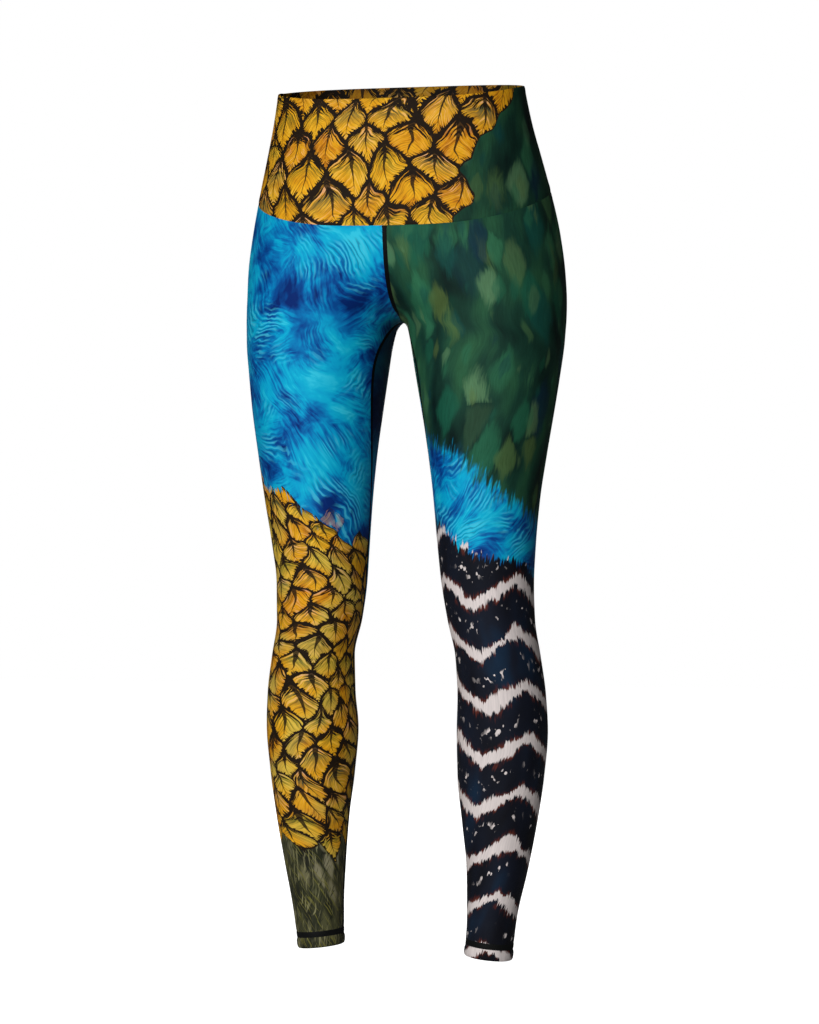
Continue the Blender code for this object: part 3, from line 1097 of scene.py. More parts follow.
class WillowBlots(ShaderGroup):
    """Soft leaf-shaped dabs of greens, teal and navy over dark green, in layers."""

    name = "willow_blots"
    inputs = {"Place": None, "Lightness": 1.0}
    ground_stops = (
        (0.30, (0.002, 0.012, 0.010)),
        (0.50, (0.008, 0.045, 0.028)),
        (0.70, (0.022, 0.100, 0.045)),
    )
    dab_stops = (
        (0.00, (0.004, 0.019, 0.052)),
        (0.18, (0.004, 0.060, 0.058)),
        (0.36, (0.010, 0.112, 0.060)),
        (0.60, (0.040, 0.180, 0.082)),
        (0.80, (0.090, 0.140, 0.034)),
        (1.00, (0.120, 0.290, 0.145)),
    )
    layers = ((0.044, 0.078, 0.72, 0.0), (0.030, 0.056, 0.66, 3.7), (0.017, 0.036, 0.45, 9.1))
    blades: tuple[tuple[float, Colour], ...] = ()

    def fill(self, g: Graph, place: Wire, lightness: Wire) -> tuple[Wire, ...]:
        """Adds the nodes.

        Args:
            g: The group's graph.
            place: Place on the cloth.
            lightness: What the colours are multiplied by.

        Returns:
            The colour.
        """
        ground = g.noise(place * (1.0, 0.45, 1.0), scale=26.0)
        colour = g.ramp(ground, self.ground_stops)
        place = g.drift(place, 30.0, 0.012)
        x, y = g.split(place)
        grain = g.noise(x * 420.0, y * 60.0) - 0.5
        for width, height, strength, shift in self.layers:
            at = g.joined(x * (1 / width), y * (1 / height), shift)
            nearest, second = (g.cells(at, feature).outputs for feature in ("F1", "F2"))
            tint = g.add("SeparateColor", Color=Wire(g, nearest["Color"]))
            hue, rank = (Wire(g, socket) for socket in tint.outputs[:2])
            soft = Wire(g, nearest["Distance"]) + grain * 0.35
            room = Wire(g, second["Distance"]) - soft
            shape = g.step(soft, 0.58, 0.34) * g.step(room, -0.06, 0.14) * g.step(rank, 0.28, 0.48)
            colour = g.blend(shape * strength, colour, g.ramp(hue, self.dab_stops))
        for turn, blade in self.blades:
            streak = g.noise(g.turned(place + (turn, 0.0, 0.0), turn) * (310.0, 24.0, 1.0))
            colour = g.blend(g.step(streak, 0.575, 0.640) * 0.75, colour, blade)
        hatch = g.noise(x * 1100.0, y * 45.0, 2.0) - 0.5
        return (colour * (grain * 0.55 + hatch * 0.50 + lightness),)


class DryWillow(WillowBlots):
    """The same dabs in the greys and olives of dry leaves, under thin blades of grass."""

    name = "dry_willow"
    ground_stops = (
        (0.30, (0.010, 0.010, 0.008)),
        (0.50, (0.030, 0.032, 0.016)),
        (0.70, (0.075, 0.072, 0.034)),
    )
    dab_stops = (
        (0.00, (0.012, 0.014, 0.009)),
        (0.25, (0.040, 0.042, 0.018)),
        (0.50, (0.080, 0.082, 0.034)),
        (0.75, (0.150, 0.140, 0.062)),
        (1.00, (0.340, 0.310, 0.190)),
    )
    blades = (
        (0.75, (0.010, 0.014, 0.008)),
        (-0.55, (0.160, 0.150, 0.030)),
        (0.35, (0.240, 0.225, 0.110)),
    )


class IkatZigzag(ShaderGroup):
    """A zigzag of pale bars on a dark ground, with the ragged ends of resist-dyed yarn."""

    name = "ikat_zigzag"
    inputs = {"Place": None, "Repeat": 0.056, "Swing": 0.026, "Half Wave": 0.047, "Bar": 0.0210}
    pale: Colour = (0.78, 0.70, 0.68)
    fringe: Colour = (0.16, 0.030, 0.014)
    ground_stops = (
        (0.35, (0.004, 0.004, 0.007)),
        (0.56, (0.007, 0.010, 0.020)),
        (0.75, (0.006, 0.024, 0.055)),
    )

    def fill(
        self, g: Graph, place: Wire, repeat: Wire, swing: Wire, half_wave: Wire, bar: Wire
    ) -> tuple[Wire, ...]:
        """Adds the nodes.

        Args:
            g: The group's graph.
            place: Place on the cloth.
            repeat: Height from one bar to the next.
            swing: How far a bar goes up and down.
            half_wave: Width of one slope of a bar.
            bar: Thickness of a bar, before it swells.

        Returns:
            The colour.
        """
        x, y = g.split(g.drift(place, 26.0, 0.010))
        yarn = g.noise(x * 620.0, y * 26.0, roughness=0.6) - 0.5
        clump = g.noise(x * 190.0, y * 70.0, 5.0, detail=1.0)
        ragged = yarn * 0.017 + (clump - 0.5) * 0.012
        height = y + ragged - g.math("PINGPONG", x, half_wave) / half_wave * swing
        number = round(height / repeat)
        off = abs(height - number * repeat)
        swell = g.noise(x * 34.0, number * 7.3, detail=1.0)
        width = bar * (swell * 1.5 - 0.18)
        main = g.step(off, width * 0.62, width * 0.44)
        halo = g.step(off, width * 1.10, width * 0.50)
        sparks = g.noise(x * 150.0, y * 110.0, 2.0, detail=1.0)
        near = g.step(repeat * 0.5 - off, 0.0072, 0.0030)
        dots = near * g.step(sparks, 0.575, 0.600) * g.step(swell, 0.46, 0.56)
        dark = g.ramp(g.noise(x * 24.0, y * 9.0, 1.0), self.ground_stops)
        warm = halo * g.step(clump, 0.42, 0.62) * 0.85
        pale = self.pale * (0.95 - yarn * 0.5)
        return (g.coats(dark, (warm, self.fringe), (g.math("MAXIMUM", main, dots), pale)),)


class SweepEdge(ShaderGroup):
    """A mask that is 1 above a sloping, wavy and ragged line across the cloth, and 0 below it."""

    name = "sweep_edge"
    inputs = {"Place": None, "Height": 0.0, "Slope": 0.0, "Wave": 0.03, "Ragged": 0.0, "Softness": 0.001}
    outputs = {"Mask": "Float"}

    def fill(
        self, g: Graph, place: Wire, height: Wire, slope: Wire, wave: Wire, ragged: Wire, soft: Wire
    ) -> tuple[Wire, ...]:
        """Adds the nodes.

        Args:
            g: The group's graph.
            place: Place on the cloth.
            height: Height of the line at X = 0.
            slope: Its slope.
            wave: How far it waves.
            ragged: How ragged it is.
            soft: Half the width over which it fades.

        Returns:
            The mask.
        """
        x, y = g.split(place)
        waves = (g.noise(place, scale=9.0, detail=1.0) - 0.5) * wave * 2.0
        bristles = (g.noise(x * 330.0, y * 45.0) - 0.5) * ragged * 2.0
        return (g.step(y - (slope * x + height) + waves + bristles, soft * -1.0, soft),)


class KnitSurface(ShaderGroup):
    """The relief of a fine knit: upright wales crossed by shallow courses, uneven in height."""

    name = "knit_surface"
    inputs = {"Place": None, "Wale": 0.00062, "Course": 0.00050}
    outputs = {"Height": "Float", "Slub": "Float"}

    def fill(self, g: Graph, place: Wire, wale: Wire, course: Wire) -> tuple[Wire, ...]:
        """Adds the nodes.

        Args:
            g: The group's graph.
            place: Place on the cloth.
            wale: Width of a wale.
            course: Height of a course.

        Returns:
            The height and the unevenness.
        """
        x, y = g.split(place)
        ridge = abs(g.math("SINE", x * math.pi / wale))
        lean = g.math("PINGPONG", x, wale * 0.5) * 0.8
        rung = g.math("SINE", (y + lean) * FULL_TURN / course) * 0.22 + 0.78
        slub = g.noise(place, scale=260.0)
        return ridge * rung * (slub * 0.5 + 0.75), slub


# ---------------------------------------------------------------------------------------------
# Finishes
# ---------------------------------------------------------------------------------------------


class Finish:
    """A material. A subclass says what feeds the inputs of its shader."""

    name: str

    def material(self) -> bpy.types.Material:
        """The material, which the first call builds.

        Returns:
            The material.
        """
        known = bpy.data.materials.get(self.name)
        if known is not None:
            return known
        material = bpy.data.materials.new(self.name)
        material.use_nodes = True
        graph = Graph(material.node_tree)
        graph.dress(material.node_tree.nodes["Principled BSDF"], **self.inputs(graph))
        return material

    def inputs(self, g: Graph) -> dict[str, Value]:
        """The shader's inputs by name, with _ for a space."""
        raise NotImplementedError


@dataclass(frozen=True)
class Jersey(Finish):
    """Warp-knit polyester and elastane with a soft sheen, printed on its face."""

    name: str
    roughness: tuple[float, float] = (0.58, 0.72)  # the smoothest and the roughest it gets
    specular: float = 0.10
    sheen: float = 0.0  # strength of the light that its fine hairs catch at its edges
    knit: float = 0.00016  # height of the knit's relief

    def print_on(self, g: Graph, place: Wire) -> Wire:
        """Adds the print and returns its colour. Plain cloth is off-white."""
        return g.blend(g.noise(place, scale=40.0), (0.62, 0.60, 0.58), (0.70, 0.68, 0.66))

    def inputs(self, g: Graph) -> dict[str, Value]:
        """The print, the relief and the gloss of the knit.

        Args:
            g: The material's graph.

        Returns:
            The shader's inputs by name.
        """
        place = g.wire("UVMap", uv_map="cloth")
        height, slub = g.use(KnitSurface(), Place=place)
        return {
            "Base_Color": self.print_on(g, place),
            "Roughness": choose(slub, *self.roughness),
            "Specular_IOR_Level": self.specular,
            "Sheen_Weight": self.sheen,
            "Sheen_Roughness": 0.45,
            "Normal": g.wire("Bump", Strength=0.6, Distance=self.knit, Height=height),
        }


def folded(g: Graph, place: Wire) -> Wire:
    """A place with X made positive, so that a print is the same to both sides of X = 0."""
    x, y = g.split(place)
    return g.joined(abs(x), y)


@dataclass(frozen=True)
class RightLegPrint(Jersey):
    """Water over the hip, then gold leaves, then dry willow at the ankle, with painted shade between the legs
    at the crotch.
    """

    name: str = "right_leg_print"
    # Colour of the painted shade that darkens the water between the legs, where they shade each other.
    navy: Colour = (0.000, 0.005, 0.024)

    def print_on(self, g: Graph, place: Wire) -> Wire:
        """Adds the print.

        Args:
            g: The material's graph.
            place: Place on the cloth.

        Returns:
            The colour.
        """
        water = g.use(WaterStrokes(), Place=place)[0]
        willow = g.use(DryWillow(), Place=place * (2.2, 1.6, 1.0), Lightness=1.1)[0]
        size = {"Half_Width": 0.0165, "Length": 0.040, "Line": 0.0033}
        leaves, centre = g.use(LeafLattice(), Place=place, **size, Lean=0.12, Lime=0.45)
        leaf, edge, line = folded(g, centre), SweepEdge(), {"Slope": -0.75, "Wave": 0.08}
        upper = g.use(edge, Place=leaf, Height=-0.385, **line)[0]
        brushed = g.use(edge, Place=folded(g, place), Height=-0.365, **line, Ragged=0.030, Softness=0.0025)[0]
        lower = g.use(edge, Place=leaf, Height=-0.845, Slope=0.40, Wave=0.04)[0]
        x, y = g.split(place)
        # Painted shade: the water darkens to navy in a strip behind the inseam down the thigh, and beside the
        # inseam at the front of the crotch, where the legs shade each other.
        edge_width = y * 0.44 + 0.4032
        thigh = g.step(y, -0.47, -0.36) * g.step(y, -0.235, -0.262)
        crotch = g.step(y, -0.36, -0.27) * g.step(y, -0.215, -0.258)
        painted_shade_behind = g.step(x * -1.0 - edge_width, -0.042, -0.018) * thigh * 0.9
        before = g.step(x - edge_width, -0.075, -0.015) * crotch * 0.8
        dark = g.blend(g.math("MAXIMUM", painted_shade_behind, before), water, self.navy)
        return g.blend(lower, willow, g.blend(g.math("MAXIMUM", upper, brushed), leaves, dark))


@dataclass(frozen=True)
class LeftLegPrint(Jersey):
    """Willow down to the knee, a band of water across it, then a dark zigzag to the hem."""

    name: str = "left_leg_print"

    def print_on(self, g: Graph, place: Wire) -> Wire:
        """Adds the print.

        Args:
            g: The material's graph.
            place: Place on the cloth.

        Returns:
            The colour.
        """
        willow = g.use(WillowBlots(), Place=place, Lightness=1.0)[0]
        water = g.use(WaterStrokes(), Place=place + (0.7, 0.2, 0.0))[0]
        zigzag = g.use(IkatZigzag(), Place=place)[0]
        edge, across = SweepEdge(), folded(g, place)
        top = g.use(edge, Place=across, Height=-0.475, Slope=0.45, Ragged=0.030, Softness=0.010)[0]
        bottom = g.use(edge, Place=across, Height=-0.535, Slope=0.35, Ragged=0.024, Softness=0.003)[0]
        return g.blend(top, g.blend(bottom, zigzag, water), willow)


@dataclass(frozen=True)
class BandPrint(Jersey):
    """Large gold leaves, which give way to willow towards the wearer's left."""

    name: str = "waistband_front_print"
    shift: tuple[float, float] = (0.006, 0.017)  # of the leaves on the cloth
    depth: float = 1.0  # how dark the print is; below 1 it is painted shade

    def print_on(self, g: Graph, place: Wire) -> Wire:
        """Adds the print.

        Args:
            g: The material's graph.
            place: Place on the cloth.

        Returns:
            The colour.
        """
        along, up = self.shift
        size = {"Half_Width": 0.0235, "Length": 0.056, "Line": 0.0052}
        leaves, centre = g.use(LeafLattice(), Place=place + (along, up, 0.0), **size, Lean=-0.10)
        willow = g.use(WillowBlots(), Place=place, Lightness=0.8)[0]
        x, y = g.split(centre + (-along, -up, 0.0))
        edge = g.use(SweepEdge(), Place=g.joined(y, x), Height=0.140, Slope=0.30, Wave=0.02)[0]
        # A depth below 1 darkens the whole print as painted shade.
        return g.blend(edge, leaves, willow) * self.depth


@dataclass(frozen=True)
class LegReverse(Jersey):
    """The unprinted inside of the legs: off-white cloth."""

    name: str = "leg_reverse"
    sheen: float = 0.10


@dataclass(frozen=True)
class SeamThread(Finish):
    """Matt black textured thread, as used to cover flat seams."""

    name: str = "seam_thread"
    dark: Colour = (0.0008, 0.0008, 0.0010)
    light: Colour = (0.0036, 0.0036, 0.0044)
    fibre_scale: float = 1600.0

    def inputs(self, g: Graph) -> dict[str, Value]:
        """A fine fibre in colour, gloss and relief.

        Args:
            g: The material's graph.

        Returns:
            The shader's inputs by name.
        """
        fibre = g.noise(g.wire("TexCoord", "Object"), scale=self.fibre_scale)
        return {
            "Base_Color": g.blend(fibre, self.dark, self.light),
            "Roughness": choose(fibre, 0.50, 0.72),
            "Specular_IOR_Level": 0.07,
            "Normal": g.wire("Bump", Strength=0.4, Distance=0.00008, Height=fibre),
        }


@dataclass(frozen=True)
class StudioPaper(Finish):
    """White background paper that looks evenly lit, and is clear when it is seen from below."""

    name: str = "studio_paper"
    dark: Colour = (0.42, 0.42, 0.42)
    light: Colour = (0.46, 0.46, 0.46)
    glow: float = 0.98

    def inputs(self, g: Graph) -> dict[str, Value]:
        """A fine tooth, and a glow that only the camera sees.

        Args:
            g: The material's graph.

        Returns:
            The shader's inputs by name.
        """
        tooth = g.noise(g.wire("TexCoord", "Object"), scale=900.0)
        return {
            "Base_Color": g.blend(tooth, self.dark, self.light),
            "Emission_Color": (1.0, 1.0, 1.0),
            "Emission_Strength": g.wire("LightPath", "Is Camera Ray") * self.glow,
            "Alpha": 1.0 - g.wire("NewGeometry", "Backfacing"),
            "Roughness": 0.9,
            "Specular_IOR_Level": 0.1,
        }


# ---------------------------------------------------------------------------------------------
# The sewn pieces
# ---------------------------------------------------------------------------------------------

# Distances of rows of points from a seam, above the hem's edge, and at the rim of that edge.
SEAM_ROWS = np.array([0.0, 0.1, 0.25, 0.45, 0.7, 1.0, 1.5, 2.2, 3.2, 4.8, 7.0, 10.0]) * MILLIMETRE
HEM_STEPS = (np.arange(24.0, 10.0, -0.8), np.arange(9.6, 3.9, -1.2), [3.0, 2.4, 1.9, 1.4])
HEM_ROWS = np.concatenate(HEM_STEPS) * MILLIMETRE
RIM_ROWS = np.array([1.0, 0.7, 0.45, 0.25, 0.1, 0.0]) * MILLIMETRE
SEWN_ROUNDNESS = 0.7


def lowered(points: np.ndarray, normals: np.ndarray, depth: np.ndarray | float) -> np.ndarray:
    """Points moved by a depth against their normals."""
    return points - normals * np.asarray(depth)[..., None]


def declare(piece: bpy.types.Object, shell: Shell, node: str, slot: str, flat: tuple, **rests: tuple) -> None:
    """Hangs cloth on the root body, hides the frame's node that it replaces, and logs its points and area.

    Args:
        piece: The cloth.
        shell: Its wall.
        node: The frame's node that it replaces.
        slot: The record's material slot; not used.
        flat: Width and length of the cut; not used.
        rests: What it rests on, as rests_on; not used.
    """
    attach(piece, "root")
    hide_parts(node)
    log.info("%s: %d points, %.3f m2", piece.name, len(piece.data.vertices), shell.area())


@dataclass
class LegPanel:
    """One leg: a single panel that wraps from the centre front round the outside to the back."""

    side: Side
    garment: Garment
    finish: Jersey
    wall: float = 0.0012  # thickness of one layer
    hem_wall: float = 0.0020  # and where the hem is turned up
    hem_height: float = 0.0155
    hem_step: tuple[float, float] = (-0.0004, 0.0006)  # about that height, where the wall changes
    seam_groove: tuple[float, float] = (0.00050, 0.0019)  # depth and width at the waist seam
    side_groove: tuple[float, float] = (0.00030, 0.0034)  # and at the open edges above the crotch
    crotch_fade: tuple[float, float] = (-0.016, -0.002)  # about the crotch, where that one ends
    stitch_height: float = 0.0150  # height of the hem's thread above the edge
    stitch_dip: float = 0.00035  # how far it draws the cloth in
    stitch_reach: float = 0.0058  # and how far above and below its middle
    flare: float = 0.00085  # how far the hem stands out under the thread
    flare_fade: tuple[float, float] = (-0.0070, -0.0030)  # about the thread, where it starts to
    curl: float = 0.0012  # how far the hem's edge curls in
    curl_height: float = 0.0042
    swing: float = 0.068  # how far the inseam swings to the front, as a share around
    swing_out: tuple[float, float] = (0.2544, 0.312)  # drops between which it does so
    swing_back: tuple[float, float] = (0.310, 0.480)  # and between which it comes back
    inseam_gaps: tuple[float, float] = (0.0004, 0.0012)  # from its thread to the crotch and the hem
    inseam_crowding: float = 1.6  # power by which its points crowd towards the crotch
    columns: int = 132
    crowding: float = 0.6  # how much closer the columns stand near the seams
    edge_columns: tuple[float, ...] = (0.0, 0.00015, 0.0004, 0.0008, 0.0016, 0.0030)
    edge_share: float = 0.009  # share around that the columns near the seams take up
    rise_rows: int = 48
    thigh_rows: int = 30
    leg_rows: int = 120
    row_bend: float = 0.6  # how much later the rows level out next to the inseam
    flat: tuple[float, float] = (0.55, 0.83)

    def _around(self) -> np.ndarray:
        """Shares around of the columns, which stand closer near the seams.

        Returns:
            The shares around, rising.
        """
        girth = self.garment.form.girth(self.side, np.array([self.garment.crotch_drop]))[0]
        close = np.array(self.edge_columns) / girth
        even = np.linspace(0, 1, self.columns + 1)
        crowded = even - self.crowding * np.sin(FULL_TURN * even) / FULL_TURN
        inner = crowded[(crowded > self.edge_share) & (crowded < 1 - self.edge_share)]
        return np.concatenate([close, inner, 1 - close[::-1]])

    def inseam_share(self, drop: np.ndarray) -> np.ndarray:
        """Where the inseam runs at each drop, as a share round the leg from its inside.

        Args:
            drop: The drops.

        Returns:
            The share around at each drop.
        """
        start, end = self.swing_out
        left = 1 - np.clip((drop - start) / (end - start), 0, 1)
        return self.swing * (1 - left**2) * (1 - smooth_step(*self.swing_back, drop))

    def _levels(self, around: np.ndarray) -> tuple[np.ndarray, int]:
        """Drops of all rows of points.

        Under the waist seam the rows follow it. Down to the crotch they crowd towards it, where
        the rows dip round the thigh. Further down they level out, and at the hem they follow its
        edge.

        Args:
            around: Shares around of the columns.

        Returns:
            The drops in rows and columns, and the number of the row at the crotch.
        """
        cut = self.garment
        top = cut.band_seam(around) + cut.seam_gap / 2
        upper = top + SEAM_ROWS[:, None]
        fall = cut.crotch_drop - top
        start = 1 - np.sqrt(1 - (SEAM_ROWS[-1] + 2 * MILLIMETRE) / fall)
        rise = start + (1 - start) * np.linspace(0, 1, self.rise_rows)[:, None]
        dip = cut.crotch_dip * np.sin(math.pi * around).clip(0) ** cut.dip_power
        middle = cut.crotch_drop - (1 - rise) ** 2 * fall + rise**2 * dip
        share = np.linspace(0, 1, self.thigh_rows + 1)[1:, None]
        bend = 1 + self.row_bend * np.cos(math.pi * around) ** 2
        thigh = middle[-1] + share**bend * (cut.thigh_end_drop - middle[-1])
        hem = cut.hem_edge(around) - np.concatenate([HEM_ROWS, RIM_ROWS])[:, None]
        share = np.linspace(0, 1, self.leg_rows + 1)[1:-1, None]
        leg = cut.thigh_end_drop + share * (hem[0] - cut.thigh_end_drop)
        return np.concatenate([upper, middle, thigh, leg, hem]), len(upper) + len(middle) - 1

    def _sinks(
        self, around: np.ndarray, drop: np.ndarray, points: np.ndarray
    ) -> tuple[np.ndarray, np.ndarray]:
        """How far the outer and the inner face lie under the smooth form.

        Args:
            around: Shares around of the columns.
            drop: Drops of the points.
            points: Points of the smooth form.

        Returns:
            The depths of the outer and the inner face.
        """
        cut = self.garment
        from_seam = drop - cut.band_seam(around)
        above_edge = cut.hem_edge(around) - drop
        above_stitch = above_edge - self.stitch_height
        to_side = from_ends(points)
        open_seam = 1 - smooth_step(*self.crotch_fade, drop - cut.crotch_drop)
        turned_up = 1 - smooth_step(*self.hem_step, above_edge - self.hem_height)
        thickness = self.wall + (self.hem_wall - self.wall) * turned_up
        roll = np.maximum(edge_roll(from_seam, thickness, SEWN_ROUNDNESS), edge_roll(above_edge, thickness))
        rolled = np.maximum(roll, edge_roll(to_side, self.wall, SEWN_ROUNDNESS) * open_seam)
        (seam_depth, seam_width), (side_depth, side_width) = self.seam_groove, self.side_groove
        groove = seam_depth * bell(from_seam, seam_width) + side_depth * bell(to_side, side_width) * open_seam
        drawn_in = self.stitch_dip * np.exp(-((above_stitch / self.stitch_reach) ** 4))
        flare = self.flare * (1 - smooth_step(*self.flare_fade, above_stitch))
        curl = self.curl * np.clip(1 - above_edge / self.curl_height, 0, 1) ** 2
        settle = cut.relief(self.side, around, drop) + groove + drawn_in - flare + curl
        return settle + rolled, settle + thickness - rolled

    def build(self) -> None:
        cut, form = self.garment, self.garment.form
        around = self._around()
        drop, crotch_row = self._levels(around)
        share = around + self.inseam_share(drop) * np.cos(math.pi * around) ** 2
        points, normals = form.face(self.side, form.angles(self.side, share, drop), drop)
        outer, inner = (lowered(points, normals, sink) for sink in self._sinks(share, drop, points))
        for face in (outer, inner):
            face[: crotch_row + 1, (0, -1), 0] = self.side.value * cut.seam_gap / 2
        middle = int(np.argmin(np.abs(around - 0.5)))
        cloth = np.stack([-arcs_along(points, middle), -drop], axis=-1)
        shell = Shell(outer, inner, cloth, clockwise=self.side is Side.RIGHT, closed_from=crotch_row)
        which = self.side.name.lower()
        piece = shell.piece(f"{which}_leg_cloth", self.finish.material(), LegReverse().material())
        bands = ("waistband_front", "waistband_back")
        declare(piece, shell, f"leg_{which}", f"{which}_cloth", self.flat, rests_on=bands)

    def _line(self, around: np.ndarray, drop: np.ndarray, sink: float, closed: bool) -> SeamLine:
        """A line on the leg's outer face, lowered by the creases and by a depth.

        Args:
            around: Share around of each point.
            drop: Drop of each point.
            sink: The depth.
            closed: Whether it is a ring.

        Returns:
            The line.
        """
        points, normals = self.garment.form.face(self.side, FULL_TURN * around, drop)
        depth = self.garment.relief(self.side, around, drop) + sink
        return SeamLine(lowered(points, normals, depth), normals, closed)

    def inseam(self, count: int = 600) -> SeamLine:
        """The inseam's line, from the crotch point to the hem's edge.

        Args:
            count: How many points it has.

        Returns:
            The line.
        """
        start = self.garment.crotch_drop + self.inseam_gaps[0]
        end = float(self.garment.hem_edge(np.array(0.0))) - self.inseam_gaps[1]
        drop = start + (end - start) * np.linspace(0, 1, count) ** self.inseam_crowding
        return self._line(self.inseam_share(drop), drop, 0.0, closed=False)

    def hem_line(self, count: int = 240) -> SeamLine:
        """The ring of thread that holds the hem's turned-up cloth.

        Args:
            count: How many points it has.

        Returns:
            The line.
        """
        around = np.arange(count) / count
        drop = self.garment.hem_edge(around) - self.stitch_height
        return self._line(around, drop, self.stitch_dip, closed=True)


@dataclass
class BandPiece:
    """The front or the back of the waistband, cloth folded double along its top edge."""

    half: Half
    garment: Garment
    finish: BandPrint
    flat: tuple[float, float]
    wall: float = 0.0020  # thickness of both layers together
    inside_painted_shade: float = 0.45  # how dark the print's inside is made, as painted shade
    seam_groove: tuple[float, float] = (0.00065, 0.0020)  # depth and width at the waist seam
    seam_ridge: tuple[float, float, float] = (0.00025, 0.0035, 0.0065)  # and of the ridge above it
    side_groove: tuple[float, float] = (0.00030, 0.0026)
    top_ridge: tuple[float, float, float] = (0.00020, 0.003, 0.004)
    columns: int = 84
    body_rows: int = 40
    side_columns: tuple[float, ...] = (0.0, 0.00015, 0.0004, 0.0008, 0.0014, 0.0022, 0.0034)
    side_gap: float = 1.4  # where the even columns end, in reaches of those near the side seam
    girth_drop: float = 0.06  # where the girth is taken that these are shares of

    def _around(self) -> np.ndarray:
        """Shares around of one side's columns, from the middle of the piece to its side seam.

        Returns:
            The shares around.
        """
        even = np.linspace(0, 1, self.columns // 2 + 1)
        quarter = self.garment.form.girth(Side.RIGHT, np.array([self.girth_drop]))[0] / 2
        close = np.array(self.side_columns[::-1]) / quarter
        reach = even[:-1] * (0.5 - close[0] * self.side_gap) / even[-2]
        share = np.concatenate([reach, 0.5 - close])
        return share if self.half is Half.FRONT else 1 - share

    def _levels(self, around: np.ndarray) -> np.ndarray:
        """Drops of all rows: close to both edges they follow them, and between they spread evenly.

        Args:
            around: Shares around of the columns.

        Returns:
            The drops in rows and columns.
        """
        top = self.garment.waist_edge(around)
        bottom = self.garment.band_seam(around) - self.garment.seam_gap / 2
        near = SEAM_ROWS[:, None]
        share = np.linspace(0, 1, self.body_rows + 2)[1:-1, None]
        high, low = top + SEAM_ROWS[-1], bottom - SEAM_ROWS[-1]
        return np.concatenate([top + near, high + share * (low - high), bottom - near[::-1]])

    def _settle(self, from_top: np.ndarray, from_seam: np.ndarray, to_side: np.ndarray) -> np.ndarray:
        """How far the outer face lies under the smooth form, by its distances from the edges.

        Args:
            from_top: Distance from the top edge.
            from_seam: Distance from the waist seam.
            to_side: Distance from the nearer side seam.

        Returns:
            The depth of each point.
        """
        groove, groove_width = self.seam_groove
        ridge, ridge_width, ridge_height = self.seam_ridge
        side, side_width = self.side_groove
        top, top_width, top_height = self.top_ridge
        settle = groove * bell(from_seam, groove_width) - ridge * bell(from_seam - ridge_height, ridge_width)
        return settle + side * bell(to_side, side_width) - top * bell(from_top - top_height, top_width)

    def build(self) -> None:
        cut, form = self.garment, self.garment.form
        around = self._around()
        half_drop = self._levels(around)
        faces = [form.face(side, form.angles(side, around, half_drop, (0, 0)), half_drop) for side in Side]
        points, normals = (np.concatenate([one[:, :0:-1], other], axis=1) for one, other in zip(*faces))
        drop = np.concatenate([half_drop[:, :0:-1], half_drop], axis=1)
        share = np.concatenate([around[:0:-1], around])
        points[:, (0, -1), 1] += (-1 if self.half is Half.FRONT else 1) * cut.seam_gap / 2
        from_top, from_seam = drop - cut.waist_edge(share), cut.band_seam(share) - drop
        to_side = from_ends(points)
        sewn = edge_roll(np.minimum(from_seam, to_side), self.wall, SEWN_ROUNDNESS)
        roll = np.maximum(edge_roll(from_top, self.wall), sewn)
        settle = self._settle(from_top, from_seam, to_side)
        outer, inner = (lowered(points, normals, sink) for sink in (settle + roll, settle + self.wall - roll))
        cloth = np.stack([arcs_along(points, points.shape[1] // 2), -drop], axis=-1)
        shell = Shell(outer, inner, cloth, clockwise=self.half is Half.BACK)
        # The inside has the same print, darkened as painted shade where the front of the band shades it.
        inside = replace(self.finish, name=f"{self.finish.name}_inside", depth=self.inside_painted_shade)
        piece = shell.piece(f"band_{self.half.value}_cloth", self.finish.material(), inside.material())
        declare(piece, shell, f"waistband_{self.half.value}", "band_cloth", self.flat)


@dataclass
class Threads:
    """The black thread of the centre seam and the inseams, and the dark grey one of the hems."""

    garment: Garment
    legs: dict[Side, LegPanel]
    seam: FlatSeam = FlatSeam()
    hem: FlatSeam = FlatSeam(width=0.0066, crown=0.00028, bury=0.0005)
    seam_finish: SeamThread = SeamThread()
    hem_finish: SeamThread = SeamThread("hem_thread", (0.0030, 0.0032, 0.0032), (0.0105, 0.0112, 0.0112))
    centre_dip: float = 0.00030  # how deep the centre seam lies in the cloth
    top_gap: float = 0.0004  # from its ends to the waist seam

    def _centre_half(self, around: float, count: int = 400) -> tuple[np.ndarray, np.ndarray]:
        """Points and normals of the centre seam's front or back half, from the waistband down.

        The distance to the crotch shrinks as a square, so that the points stay close together
        where the seam turns under the body.

        Args:
            around: 0 for the front half and 1 for the back.
            count: How many points it has.

        Returns:
            The points and their unit normals.
        """
        cut, form = self.garment, self.garment.form
        top = float(cut.band_seam(np.array(around))) + self.top_gap
        drop = cut.crotch_drop - (1 - np.linspace(0, 1, count)) ** 2 * (cut.crotch_drop - top)
        share = form.seam_share(Side.LEFT, drop)
        points, normals = form.face(Side.LEFT, FULL_TURN * (1 - share if around else share), drop)
        level = np.array([0.0, 1.0, 1.0])
        normals = unit(normals * level)
        return lowered(points * level, normals, np.full(count, self.centre_dip)), normals

    def build(self) -> None:
        """Makes all thread pieces."""
        halves = zip(self._centre_half(0.0), self._centre_half(1.0))
        centre = SeamLine(*(np.concatenate([front, back[-2::-1]]) for front, back in halves))
        lines = [("centre_seam_thread", self.seam, centre, self.seam_finish)]
        for side, leg in self.legs.items():
            which = side.name.lower()
            lines.append((f"{which}_inseam_thread", self.seam, leg.inseam(), self.seam_finish))
            lines.append((f"{which}_hem_thread", self.hem, leg.hem_line(), self.hem_finish))
        for name, seam, line, finish in lines:
            piece = seam.piece(name, line, finish.material())
            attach(piece, "root")
            log.info("%s: %d faces", name, len(piece.data.polygons))


# ---------------------------------------------------------------------------------------------
# The studio
# ---------------------------------------------------------------------------------------------


